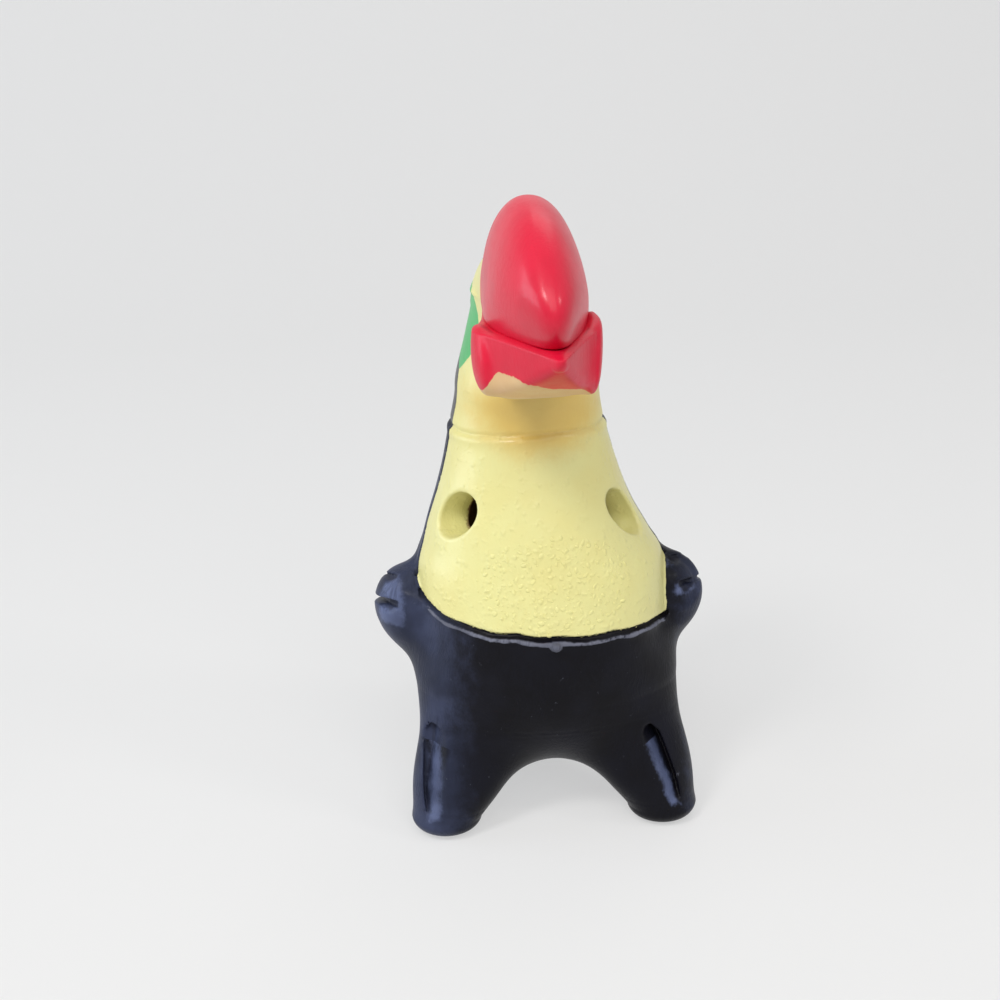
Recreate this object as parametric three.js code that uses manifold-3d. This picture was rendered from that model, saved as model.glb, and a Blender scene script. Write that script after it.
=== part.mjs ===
// A hand-built clay whistle in the shape of a toucan. It stands on two feet and on its tail,
// which is the mouthpiece. The breast and the belly are two shells that close round the air
// chamber, and the head, bill, wings, legs and tail are lumps of clay pressed on to them.
// Millimetres, +Z up. The bird looks along -Y, and its own left is +X.

import * as THREE from "three";
import { mergeVertices } from "three/addons/utils/BufferGeometryUtils.js";
import Module from "manifold-3d";

const wasm = await Module();
wasm.setup();

// Clearance between two pieces of clay that were pressed together
const SEAM = 0.3;

// Body: an egg drawn out into a neck. Widths and reaches are measured from its axis, which
// leans a little to the bird's right, in degrees, as hand-built clay does.
const LEAN = 2.5;
const BASE_Z = 8;
const BELLY_Z = 31;
const BELLY_HALF_WIDTH = 22.9;
const BELLY_FRONT = 22.4;
const BELLY_BACK = 20;
const BREAST_RISE = 12.5;
const BREAST_HALF_WIDTH = 21.9;
const CHEST_RISE = 20;
const CHEST_HALF_WIDTH = 18.85;
const CHEST_FRONT = 18.2;
const CHEST_BACK = 15.6;
const NECK_RISE = 18.7;
const NECK_HALF_WIDTH = 13.1;
const NECK_FRONT = 12.6;
const NECK_BACK = 11.2;
const BASE_FULLNESS = 2.3;
const WALL = 5.5;
const ROOF_ROUND = 8;

// How far the skin's middle lies to the bird's left of that axis, level by level
const BELLY_SWAY = 0.2;
const BREAST_SWAY = 1;
const CHEST_SWAY = 0.5;
const NECK_SWAY = 0.3;
const CHEEK_SWAY = 0.75;
const BROW_SWAY = 0.6;

// Edge rounding where the neck meets the head, which leaves the collar crease
const COLLAR_ROUND = 0.9;

// Two finger holes in the breast, drilled a little nearer to straight ahead than they face
const HOLE_DIAMETER = 7.8;
const RIGHT_HOLE_RISE = 5.1;
const RIGHT_HOLE_BEARING = 54.7;
const LEFT_HOLE_RISE = 3.8;
const LEFT_HOLE_BEARING = 60.2;
const HOLE_TURN = 4;
const HOLE_FLARE = 0.8;
const HOLE_FLARE_DEPTH = 1.3;

// Bib: the outline of the breast shell, cut as a groove
const BIB_BOTTOM_Z = 38.2;
const BIB_HALF_WIDTH = 21.6;
const BIB_SHIFT = 1;
const BIB_TILT = 3.6;
const BIB_CORNER_WIDTH = 8;
const BIB_CORNER_HEIGHT = 5.5;
const BIB_BACK_Y = 0.4;
const GROOVE_WIDTH = 1.1;
const GROOVE_DEPTH = 0.9;

// Head, in heights above the neck
const CHEEK_RISE = 7.5;
const CHEEK_HALF_WIDTH = 12;
const CHEEK_FRONT = 13.4;
const CHEEK_BACK = 12;
const BROW_RISE = 19;
const BROW_HALF_WIDTH = 8.5;
const BROW_FRONT = 11;
const BROW_BACK = 11;
const CROWN_RISE = 30.5;
const CROWN_FULLNESS = 1.9;

// Bill, in heights above the neck and reaches forward of the neck's axis
const MOUTH_RISE = 22.3;
const BILL_ROOT = 3;
const BILL_REACH = 45.4;
const BILL_HALF_WIDTH = 8.5;
const BILL_ROOT_DEPTH = 8;
const BILL_DEPTH = 18;
const BILL_PEAK_REACH = 21;
const BILL_TIP_DROP = 1.6;
const BILL_TIP_RISE = 3;
const BILL_TUCK = 2.4;
const BILL_SWAY = 1.6;
const JAW_HALF_WIDTH = 9.8;
const JAW_DEPTH = 10.4;
const JAW_SQUARENESS = 3.6;
const JAW_RIM = 0.9;
const JAW_BEYOND = 0.8;

// Eyes: flattened pellets
const EYE_DIAMETER = 4.6;
const EYE_PROUD = 0.6;
const EYE_RISE = 18.6;
const EYE_BACK = 5.4;

// Wings: leaves of clay scored into three feathers
const WING_Z = 37.3;
const WING_HALF_HEIGHT = 7.6;
const WING_PROUD = 6.4;
const WING_FRONT_Y = -8;
const WING_LENGTH = 25;
const WING_DROOP = 5;
const FEATHER_CUTS = [5.4, 1.4];
const FEATHER_CUT_HEIGHT = 2;
const FEATHER_CUT_DEPTH = 2.1;
const FEATHER_CUT_PLACE = 0.36;
const FEATHER_CUT_SHARE = 0.47;

// Legs: cones that spread into the belly above and end in a flat sole, each with one gouge
const FOOT_X = 20.3;
const FOOT_Y = -15.6;
const FOOT_HALF_WIDTH = 5.4;
const FOOT_HALF_DEPTH = 5.3;
const SOLE_ROUND = 3.4;
const SOLE_INSET = 2.1;
const THIGH_Z = 12;
const THIGH_X = 14.8;
const THIGH_Y = -12;
const THIGH_HALF_WIDTH = 9.2;
const THIGH_HALF_DEPTH = 7.4;
const HIP_Z = 29;
const HIP_X = 9;
const HIP_Y = -6;
const HIP_HALF_WIDTH = 11;
const HIP_HALF_DEPTH = 8;
const GOUGE_TOP_Z = 17.5;
const GOUGE_BOTTOM_Z = 4.2;
const GOUGE_WIDTH = 3.3;
const GOUGE_DEPTH = 2.3;
const GOUGE_SIDE_SHARE = 0.45;

// Tail, which holds the windway
const TAIL_END_Y = 46;
const TAIL_HALF_WIDTH = 12;
const TAIL_END_HALF_WIDTH = 9.4;
const TAIL_ROOT_TOP_Z = 23;
const TAIL_ROOT_BOTTOM_Z = 5.4;
const TAIL_END_HEIGHT = 9.4;
const TAIL_SOLE_LENGTH = 12;
const TAIL_SOLE_CUT = 0.5;

// Voicing: the breath goes along the windway, across the window and on to the lip
const WINDWAY_WIDTH = 9;
const WINDWAY_HEIGHT = 2.2;
const BLOW_HOLE_Z = 5;
const LIP_Y = 4.6;
const LIP_RISE = 2.1;
const WINDOW_LENGTH = 7;
const LIP_RAMP = 9;
const LIP_UNDERCUT = 4;

// Facets
const BODY_AROUND = 40;
const CHAMBER_AROUND = 28;
const BODY_RINGS = 14;
const LIMB_AROUND = 26;
const LIMB_RINGS = 11;

// Levels and half-sizes that follow from the sizes above
const CHEST_Z = BELLY_Z + CHEST_RISE;
const NECK_Z = CHEST_Z + NECK_RISE;
const WINDOW_END_Y = LIP_Y + WINDOW_LENGTH;
const LIP_Z = BASE_Z + LIP_RISE;
const FAR = 4 * BELLY_HALF_WIDTH;

const clayYellow = new THREE.MeshStandardMaterial({ color: 0xead97a, roughness: 0.55, metalness: 0 });
const clayBlack = new THREE.MeshStandardMaterial({ color: 0x191b21, roughness: 0.4, metalness: 0 });
const clayRed = new THREE.MeshStandardMaterial({ color: 0xc8182f, roughness: 0.25, metalness: 0 });

const mix = (a, b, t) => a + (b - a) * t;
const smooth = (t) => t * t * (3 - 2 * t);

// A quarter of a superellipse: 1 at t = 0 and 0 at t = 1.
const dome = (t, fullness) => Math.max(0, 1 - Math.min(1, Math.abs(t)) ** fullness) ** (1 / fullness);

// A smooth line through [place, value] stations, read at any place between the first and last.
function profile(stations) {
  const curve = new THREE.SplineCurve(stations.map(([at, value]) => new THREE.Vector2(at, value)));
  const points = curve.getPoints(stations.length * 12);
  return (at) => {
    const next = points.findIndex((p) => p.x >= at);
    if (next < 0) return points[points.length - 1].y;
    if (next === 0) return points[0].y;
    const [low, high] = [points[next - 1], points[next]];
    return mix(low.y, high.y, (at - low.x) / (high.x - low.x));
  };
}

// A closed surface through rings of equal point counts, with a point that closes each end.
function loft(rings, start, end) {
  const count = rings[0].length;
  const points = [start, ...rings.flat(), end];
  const last = points.length - 1;
  const index = [];
  for (let i = 0; i < count; i++) {
    const next = (i + 1) % count;
    index.push(0, 1 + next, 1 + i);
    for (let r = 0; r < rings.length - 1; r++) {
      const low = 1 + r * count;
      const high = low + count;
      index.push(low + i, low + next, high + next);
      index.push(low + i, high + next, high + i);
    }
    index.push(last, last - count + i, last - count + next);
  }
  const geometry = new THREE.BufferGeometry().setFromPoints(points);
  geometry.setIndex(index);
  return geometry;
}

// The volume inside a triangle mesh, negative where its faces point inwards.
function signedVolume(position, index) {
  const [a, b, c] = [new THREE.Vector3(), new THREE.Vector3(), new THREE.Vector3()];
  let sum = 0;
  for (let i = 0; i < index.length; i += 3) {
    a.fromBufferAttribute(position, index[i]);
    b.fromBufferAttribute(position, index[i + 1]);
    c.fromBufferAttribute(position, index[i + 2]);
    sum += a.dot(b.cross(c)) / 6;
  }
  return sum;
}

// A closed geometry as a solid that can be joined and cut, with its faces turned outwards.
function solid(geometry) {
  const bare = geometry.clone();
  bare.deleteAttribute("normal");
  bare.deleteAttribute("uv");
  const merged = mergeVertices(bare, 1e-4);
  const triVerts = new Uint32Array(merged.index.array);
  if (signedVolume(merged.attributes.position, triVerts) < 0) {
    for (let i = 0; i < triVerts.length; i += 3) {
      [triVerts[i + 1], triVerts[i + 2]] = [triVerts[i + 2], triVerts[i + 1]];
    }
  }
  const vertProperties = merged.attributes.position.array;
  return new wasm.Manifold(new wasm.Mesh({ numProp: 3, vertProperties, triVerts }));
}

// A finished solid as a named mesh.
function piece(name, made, material) {
  const { vertProperties, triVerts, numProp } = made.getMesh();
  const position = new Float32Array((vertProperties.length / numProp) * 3);
  for (let i = 0; i < position.length; i++) {
    position[i] = vertProperties[Math.floor(i / 3) * numProp + (i % 3)];
  }
  const geometry = new THREE.BufferGeometry();
  geometry.setAttribute("position", new THREE.BufferAttribute(position, 3));
  geometry.setIndex(new THREE.BufferAttribute(triVerts, 1));
  geometry.computeVertexNormals();
  const mesh = new THREE.Mesh(geometry, material);
  mesh.name = name;
  return mesh;
}

// A geometry drawn round an upright axis, slid sideways level by level so that it leans.
function leaned(geometry) {
  const slope = Math.tan(THREE.MathUtils.degToRad(LEAN));
  const slide = new THREE.Matrix4().set(1, 0, -slope, slope * BASE_Z, 0, 1, 0, 0, 0, 0, 1, 0, 0, 0, 0, 1);
  return geometry.applyMatrix4(slide);
}

// A level ring with its own reach to each side, to the front and to the back.
function levelRing(count, z, half, front, back, x = 0, y = 0) {
  return Array.from({ length: count }, (_, i) => {
    const angle = (i / count) * 2 * Math.PI;
    const depth = Math.sin(angle) < 0 ? front : back;
    return new THREE.Vector3(x + half * Math.cos(angle), y + depth * Math.sin(angle), z);
  });
}

// An upright ring across the Y axis, with a reach of its own above and below its level.
function crossRing(count, y, half, level, above, below, square = 2, x = 0) {
  const squared = (v) => Math.sign(v) * Math.abs(v) ** (2 / square);
  return Array.from({ length: count }, (_, i) => {
    const angle = (i / count) * 2 * Math.PI;
    const reach = Math.sin(angle) > 0 ? above : below;
    const [across, up] = [squared(Math.cos(angle)), squared(Math.sin(angle))];
    return new THREE.Vector3(x + half * across, y, level + reach * up);
  });
}

const ellipsoid = (a, b, c, steps = 20) => new THREE.SphereGeometry(1, steps, steps / 2).scale(a, b, c);

// Body form

const upperHalf = profile([
  [BELLY_Z - CHEST_RISE, BELLY_HALF_WIDTH],
  [BELLY_Z, BELLY_HALF_WIDTH],
  [BELLY_Z + BREAST_RISE, BREAST_HALF_WIDTH],
  [CHEST_Z, CHEST_HALF_WIDTH],
  [NECK_Z, NECK_HALF_WIDTH],
]);
const upperFront = profile([
  [BELLY_Z - CHEST_RISE, BELLY_FRONT],
  [BELLY_Z, BELLY_FRONT],
  [CHEST_Z, CHEST_FRONT],
  [NECK_Z, NECK_FRONT],
]);
const upperBack = profile([
  [BELLY_Z - CHEST_RISE, BELLY_BACK],
  [BELLY_Z, BELLY_BACK],
  [CHEST_Z, CHEST_BACK],
  [NECK_Z, NECK_BACK],
]);

// How far the skin's middle lies aside at a level, for the body and the head alike.
const swayAt = profile([
  [BELLY_Z, BELLY_SWAY],
  [BELLY_Z + BREAST_RISE, BREAST_SWAY],
  [CHEST_Z, CHEST_SWAY],
  [NECK_Z, NECK_SWAY],
  [NECK_Z + CHEEK_RISE, CHEEK_SWAY],
  [NECK_Z + BROW_RISE, BROW_SWAY],
]);

// The body's reaches at a level, with its skin moved out by grow.
function bodyReach(z, grow) {
  if (z >= BELLY_Z) {
    return { half: upperHalf(z) + grow, front: upperFront(z) + grow, back: upperBack(z) + grow };
  }
  const share = dome((BELLY_Z - z) / (BELLY_Z - BASE_Z + grow), BASE_FULLNESS);
  return {
    half: (BELLY_HALF_WIDTH + grow) * share,
    front: (BELLY_FRONT + grow) * share,
    back: (BELLY_BACK + grow) * share,
  };
}

// How far out to the side the body's skin lies at a level and a depth.
function bodySide(y, z) {
  const { half, front, back } = bodyReach(z, 0);
  return half * Math.sqrt(Math.max(0, 1 - (y / (y < 0 ? front : back)) ** 2));
}

// The body with its skin moved out by grow. Its top is flat, and the top's edge is rounded
// by edge, which makes a domed roof where edge is large.
function bodyForm(grow, top, edge, around) {
  const bottom = BASE_Z - grow;
  const half = BODY_RINGS / 2;
  const levels = [];
  for (let i = 1; i <= half; i++) levels.push(mix(BELLY_Z, bottom, Math.cos(((i / half) * Math.PI) / 2)));
  for (let i = 1; i <= half; i++) levels.push(mix(BELLY_Z, top - edge, i / half));
  const rings = levels.map((z) => {
    const reach = bodyReach(z, grow);
    return levelRing(around, z, reach.half, reach.front, reach.back, swayAt(z));
  });
  const rim = bodyReach(top - edge, grow);
  for (const turn of [0.35, 0.7, 1]) {
    const inset = Math.min(edge, rim.back * 0.9) * (1 - Math.cos((turn * Math.PI) / 2));
    const z = top - edge + edge * Math.sin((turn * Math.PI) / 2);
    rings.push(levelRing(around, z, rim.half - inset, rim.front - inset, rim.back - inset, swayAt(z)));
  }
  const ends = [bottom, top].map((z) => new THREE.Vector3(swayAt(z), 0, z));
  return leaned(loft(rings, ...ends));
}

// Breast and belly

// A bib outline, moved out by grow, as a bar that runs back from in front of the bird.
function bibBar(grow, backY) {
  const half = BIB_HALF_WIDTH + grow;
  const bottom = BIB_BOTTOM_Z - grow;
  const slope = Math.tan(THREE.MathUtils.degToRad(BIB_TILT));
  const top = NECK_Z + FAR;
  const [wide, high] = [BIB_CORNER_WIDTH, BIB_CORNER_HEIGHT];
  const outline = new THREE.Shape();
  outline.moveTo(-half, top);
  outline.lineTo(-half, bottom + high);
  outline.absellipse(-half + wide, bottom + high, wide, high, Math.PI, 1.5 * Math.PI, false);
  outline.absellipse(half - wide, bottom + high, wide, high, 1.5 * Math.PI, 2 * Math.PI, false);
  outline.lineTo(half, top);
  const depth = backY + grow + FAR;
  const bar = new THREE.ExtrudeGeometry(outline, { depth, bevelEnabled: false, curveSegments: 14 });
  bar.rotateX(Math.PI / 2).translate(0, backY + grow, 0);
  bar.applyMatrix4(new THREE.Matrix4().set(1, 0, 0, 0, 0, 1, 0, 0, -slope, 0, 1, 0, 0, 0, 0, 1));
  return leaned(bar.translate(BIB_SHIFT, 0, 0));
}

// One finger hole's drill: a round bar that goes in through the skin and widens there.
function holeDrill(side, rise, facing) {
  const bearing = THREE.MathUtils.degToRad(side * facing);
  const aim = THREE.MathUtils.degToRad(side * (facing - HOLE_TURN));
  const z = CHEST_Z + rise;
  const { half, front } = bodyReach(z, 0);
  const skin = 1 / Math.hypot(Math.sin(bearing) / half, Math.cos(bearing) / front);
  const radius = HOLE_DIAMETER / 2;
  const outline = [
    new THREE.Vector2(0, -2 * WALL),
    new THREE.Vector2(radius, -2 * WALL),
    new THREE.Vector2(radius, -HOLE_FLARE_DEPTH),
    new THREE.Vector2(radius + HOLE_FLARE / 3, -HOLE_FLARE_DEPTH / 2),
    new THREE.Vector2(radius + HOLE_FLARE, 0),
    new THREE.Vector2(radius + 2 * HOLE_FLARE, HOLE_DIAMETER),
    new THREE.Vector2(0, HOLE_DIAMETER),
  ];
  const drill = new THREE.LatheGeometry(outline, 24);
  drill.rotateX(Math.PI).rotateZ(aim);
  return leaned(drill.translate(swayAt(z) + skin * Math.sin(bearing), -skin * Math.cos(bearing), z));
}

// The window through the belly's underside, seen from the side: a ramp up to the lip from
// outside, and a slope away from the lip inside.
function windowCutter() {
  const outline = new THREE.Shape();
  outline.moveTo(LIP_Y, LIP_Z);
  outline.lineTo(LIP_Y - LIP_RAMP, BASE_Z - SEAM);
  outline.lineTo(LIP_Y - LIP_RAMP, BASE_Z - WALL);
  outline.lineTo(WINDOW_END_Y, BASE_Z - WALL);
  outline.lineTo(WINDOW_END_Y, BELLY_Z - WALL);
  outline.lineTo(LIP_Y - LIP_UNDERCUT, BASE_Z + WALL + LIP_RISE);
  outline.closePath();
  return sideExtrusion(outline, WINDWAY_WIDTH);
}

// An outline drawn with Y across and Z up, given a width along X that is centred on the bird.
function sideExtrusion(outline, width) {
  const bar = new THREE.ExtrudeGeometry(outline, { depth: width, bevelEnabled: false });
  bar.rotateX(Math.PI / 2).rotateZ(Math.PI / 2);
  return bar.translate(-width / 2, 0, 0);
}

// The flat breath channel from the blow hole to the window, aimed at the lip.
function windwayCutter() {
  const slope = (LIP_Z - BLOW_HOLE_Z) / (LIP_Y - TAIL_END_Y);
  const level = (y) => BLOW_HOLE_Z + slope * (y - TAIL_END_Y);
  const [near, far] = [WINDOW_END_Y - SEAM, TAIL_END_Y + SEAM];
  const outline = new THREE.Shape();
  outline.moveTo(near, level(near) - WINDWAY_HEIGHT / 2);
  outline.lineTo(far, level(far) - WINDWAY_HEIGHT / 2);
  outline.lineTo(far, level(far) + WINDWAY_HEIGHT / 2);
  outline.lineTo(near, level(near) + WINDWAY_HEIGHT / 2);
  outline.closePath();
  return sideExtrusion(outline, WINDWAY_WIDTH);
}

const bodySkin = solid(bodyForm(SEAM, NECK_Z + SEAM, COLLAR_ROUND, BODY_AROUND));

function makeBody() {
  const outer = solid(bodyForm(0, NECK_Z, COLLAR_ROUND, BODY_AROUND));
  const chamber = solid(bodyForm(-WALL, NECK_Z - WALL, ROOF_ROUND, CHAMBER_AROUND));
  const shell = outer
    .subtract(chamber)
    .subtract(solid(holeDrill(-1, RIGHT_HOLE_RISE, RIGHT_HOLE_BEARING)))
    .subtract(solid(holeDrill(1, LEFT_HOLE_RISE, LEFT_HOLE_BEARING)));
  const groove = solid(bibBar(GROOVE_WIDTH, BIB_BACK_Y))
    .subtract(solid(bibBar(0, BIB_BACK_Y)))
    .subtract(solid(bodyForm(-GROOVE_DEPTH, NECK_Z - COLLAR_ROUND, COLLAR_ROUND, BODY_AROUND)));
  const breast = shell.intersect(solid(bibBar(0, BIB_BACK_Y)));
  const belly = shell
    .subtract(solid(bibBar(SEAM, BIB_BACK_Y)))
    .subtract(groove)
    .subtract(solid(windowCutter()))
    .subtract(solid(windwayCutter()));
  return [piece("breast_shell", breast, clayYellow), piece("belly_shell", belly, clayBlack)];
}

// Head and bill, round an upright axis through the neck

const headHalf = profile([
  [NECK_Z - CHEEK_RISE, NECK_HALF_WIDTH],
  [NECK_Z, NECK_HALF_WIDTH],
  [NECK_Z + CHEEK_RISE, CHEEK_HALF_WIDTH],
  [NECK_Z + BROW_RISE, BROW_HALF_WIDTH],
]);
const headFront = profile([
  [NECK_Z - CHEEK_RISE, NECK_FRONT],
  [NECK_Z, NECK_FRONT],
  [NECK_Z + CHEEK_RISE, CHEEK_FRONT],
  [NECK_Z + BROW_RISE, BROW_FRONT],
]);
const headBack = profile([
  [NECK_Z - CHEEK_RISE, NECK_BACK],
  [NECK_Z, NECK_BACK],
  [NECK_Z + CHEEK_RISE, CHEEK_BACK],
  [NECK_Z + BROW_RISE, BROW_BACK],
]);

// The head's reaches at a level, with its skin moved out by grow.
function headReach(z, grow) {
  const browZ = NECK_Z + BROW_RISE;
  const share = z > browZ ? dome((z - browZ) / (CROWN_RISE - BROW_RISE + grow), CROWN_FULLNESS) : 1;
  const level = Math.min(z, browZ);
  return {
    half: (headHalf(level) + grow) * share,
    front: (headFront(level) + grow) * share,
    back: (headBack(level) + grow) * share,
  };
}

function headForm(grow) {
  const bottom = NECK_Z + SEAM;
  const browZ = NECK_Z + BROW_RISE;
  const crownZ = NECK_Z + CROWN_RISE + grow;
  const rings = [];
  for (const turn of [0, 0.4, 0.75]) {
    const inset = COLLAR_ROUND * (1 - Math.sin((turn * Math.PI) / 2));
    const z = bottom + COLLAR_ROUND * (1 - Math.cos((turn * Math.PI) / 2));
    const { half, front, back } = headReach(z, grow - inset);
    rings.push(levelRing(BODY_AROUND, z, half, front, back, swayAt(z)));
  }
  const levels = [];
  for (let i = 0; i <= 5; i++) levels.push(mix(bottom + COLLAR_ROUND, browZ, i / 5));
  for (let i = 1; i < 6; i++) levels.push(mix(browZ, crownZ, Math.sin(((i / 6) * Math.PI) / 2)));
  for (const z of levels) {
    const { half, front, back } = headReach(z, grow);
    rings.push(levelRing(BODY_AROUND, z, half, front, back, swayAt(z)));
  }
  const ends = [bottom, crownZ].map((z) => new THREE.Vector3(swayAt(z), 0, z));
  return leaned(loft(rings, ...ends));
}

// Shares of the bill's greatest width and height along its length, from root (0) to tip (1).
const billWidthShare = profile([
  [0, 0.8],
  [0.3, 0.96],
  [0.52, 1],
  [0.65, 0.88],
  [0.78, 0.66],
  [0.92, 0.4],
  [1, 0.18],
]);
const jawWidthShare = profile([
  [0, 0.8],
  [0.3, 0.96],
  [0.52, 1],
  [0.65, 0.86],
  [0.78, 0.61],
  [0.92, 0.35],
  [1, 0.16],
]);
const jawDepthShare = profile([
  [0, 0.72],
  [0.3, 0.95],
  [0.55, 1],
  [0.72, 0.8],
  [0.87, 0.46],
  [1, 0.14],
]);

// How far the bill's middle has turned aside some way along it.
const billSway = (along) => BILL_SWAY * smooth(along);

// How high the ridge of the bill stands over the mouth line at a reach forward of the neck.
function ridgeHeight(reach) {
  const peak = BILL_PEAK_REACH;
  if (reach > peak) return BILL_DEPTH * dome((reach - peak) / (BILL_REACH + 1 - peak), 1.9);
  return mix(BILL_DEPTH, BILL_ROOT_DEPTH, ((peak - reach) / (peak - BILL_ROOT)) ** 1.7);
}

// The upper bill, with its skin moved out by grow. Its underside tucks into the lower bill.
function upperBillForm(grow) {
  const mouthZ = NECK_Z + MOUTH_RISE;
  const reach = BILL_REACH + grow;
  const rings = [];
  for (let i = 0; i <= LIMB_RINGS; i++) {
    const along = Math.sin(((i / LIMB_RINGS) * Math.PI) / 2);
    const forward = mix(BILL_ROOT, reach, along);
    const tuck = BILL_TUCK * (1 - along ** 6) + BILL_TIP_DROP * along ** 6;
    const half = BILL_HALF_WIDTH * billWidthShare(along) + grow;
    const ridge = ridgeHeight(Math.min(forward, BILL_REACH));
    const rise = Math.min(BILL_TIP_RISE * along ** 4, ridge / 2);
    const [above, below] = [ridge - rise + grow, tuck + rise + grow];
    rings.push(crossRing(LIMB_AROUND, -forward, half, mouthZ + rise, above, below, 2, billSway(along)));
  }
  const root = new THREE.Vector3(0, -BILL_ROOT, mouthZ);
  const tip = new THREE.Vector3(BILL_SWAY, -reach - SEAM, mouthZ + BILL_TIP_DROP / 2);
  return leaned(loft(rings, root, tip));
}

// The lower bill: a scoop that is a little wider than the upper bill and holds it by its rim.
function lowerBillForm() {
  const mouthZ = NECK_Z + MOUTH_RISE;
  const reach = BILL_REACH + JAW_BEYOND;
  const rings = [];
  for (let i = 0; i <= LIMB_RINGS; i++) {
    const along = Math.sin(((i / LIMB_RINGS) * Math.PI) / 2);
    const half = JAW_HALF_WIDTH * jawWidthShare(along);
    const below = JAW_DEPTH * jawDepthShare(along);
    const y = -mix(BILL_ROOT, reach, along);
    const [level, x] = [mouthZ - JAW_RIM, billSway(along)];
    rings.push(crossRing(LIMB_AROUND, y, half, level, 2 * JAW_RIM, below, JAW_SQUARENESS, x));
  }
  const root = new THREE.Vector3(0, -BILL_ROOT, mouthZ - JAW_RIM);
  const tip = new THREE.Vector3(BILL_SWAY, -reach - SEAM, mouthZ - JAW_RIM);
  return leaned(loft(rings, root, tip));
}

// One eye: a pellet on the side of the head.
function eyeForm(side) {
  const z = NECK_Z + EYE_RISE;
  const { half, back } = headReach(z, 0);
  const bearing = Math.asin(EYE_BACK / back);
  const radius = EYE_DIAMETER / 2;
  const pellet = ellipsoid(EYE_PROUD, radius, radius, 14);
  const x = swayAt(z) + side * half * Math.cos(bearing);
  return leaned(pellet.rotateZ(side * bearing).translate(x, EYE_BACK, z));
}

function makeHead() {
  const headSkin = solid(headForm(SEAM));
  const upper = solid(upperBillForm(0)).subtract(headSkin);
  const lower = solid(lowerBillForm()).subtract(headSkin).subtract(solid(upperBillForm(SEAM)));
  return [
    piece("head", solid(headForm(0)), clayYellow),
    piece("upper_bill", upper, clayRed),
    piece("lower_bill", lower, clayRed),
    piece("right_eye", solid(eyeForm(-1)).subtract(headSkin), clayBlack),
    piece("left_eye", solid(eyeForm(1)).subtract(headSkin), clayBlack),
  ];
}

// Wings

// A wing's fullness along its length, blunt in front and drawn out behind.
const wingShare = (along) => Math.sin(Math.PI * along ** 0.62) ** 0.75;

// The middle of a wing's root on the body's skin, some way along the wing.
function wingPlace(side, along) {
  const y = WING_FRONT_Y + WING_LENGTH * along;
  const z = WING_Z - WING_DROOP * along ** 1.5;
  return new THREE.Vector3(side * bodySide(Math.min(y, BELLY_BACK * 0.8), z), y, z);
}

function makeWing(side, name) {
  const rings = [];
  for (let i = 1; i < LIMB_RINGS; i++) {
    const along = (1 - Math.cos((i / LIMB_RINGS) * Math.PI)) / 2;
    const share = wingShare(along);
    const { x, y, z } = wingPlace(side, along);
    const high = WING_HALF_HEIGHT * share;
    rings.push(crossRing(LIMB_AROUND, y, WING_PROUD * share, z, high, high, 2, x));
  }
  const leaf = leaned(loft(rings, wingPlace(side, 0), wingPlace(side, 1)));
  let wing = solid(leaf).subtract(bodySkin);
  for (const rise of FEATHER_CUTS) wing = wing.subtract(solid(featherCutter(side, rise)));
  return piece(name, wing, clayBlack);
}

// One score between two feathers: a thin lens along the wing's outer face.
function featherCutter(side, rise) {
  const { x, z } = wingPlace(side, FEATHER_CUT_PLACE);
  const y = WING_FRONT_Y + FEATHER_CUT_PLACE * WING_LENGTH;
  const out = WING_PROUD * Math.sqrt(1 - (rise / WING_HALF_HEIGHT) ** 2);
  const lens = ellipsoid(FEATHER_CUT_DEPTH, WING_LENGTH * FEATHER_CUT_SHARE, FEATHER_CUT_HEIGHT / 2, 16);
  const droop = Math.atan2(WING_DROOP + rise * 0.4, WING_LENGTH);
  return leaned(lens.rotateX(-droop).translate(x + side * out, y, z + rise));
}

// Legs

const legProfile = (foot, thigh, hip) => profile([
  [0, foot],
  [THIGH_Z, thigh],
  [HIP_Z, hip],
]);
const legX = legProfile(FOOT_X, THIGH_X, HIP_X);
const legY = legProfile(FOOT_Y, THIGH_Y, HIP_Y);
const legHalf = legProfile(FOOT_HALF_WIDTH, THIGH_HALF_WIDTH, HIP_HALF_WIDTH);
const legDeep = legProfile(FOOT_HALF_DEPTH, THIGH_HALF_DEPTH, HIP_HALF_DEPTH);

// A leg's middle and half-sizes at a level.
function legAt(side, z) {
  const rim = Math.max(0, 1 - z / SOLE_ROUND);
  const inset = SOLE_INSET * (1 - Math.sqrt(1 - rim * rim));
  return { x: side * legX(z), y: legY(z), half: legHalf(z) - inset, deep: legDeep(z) - inset };
}

// A point on the outer front of a leg, where the gouge runs.
function gougePoint(side, z) {
  const { x, y, half, deep } = legAt(side, z);
  const front = Math.sqrt(1 - GOUGE_SIDE_SHARE ** 2);
  return new THREE.Vector3(x + side * half * GOUGE_SIDE_SHARE, y - deep * front, z);
}

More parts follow.
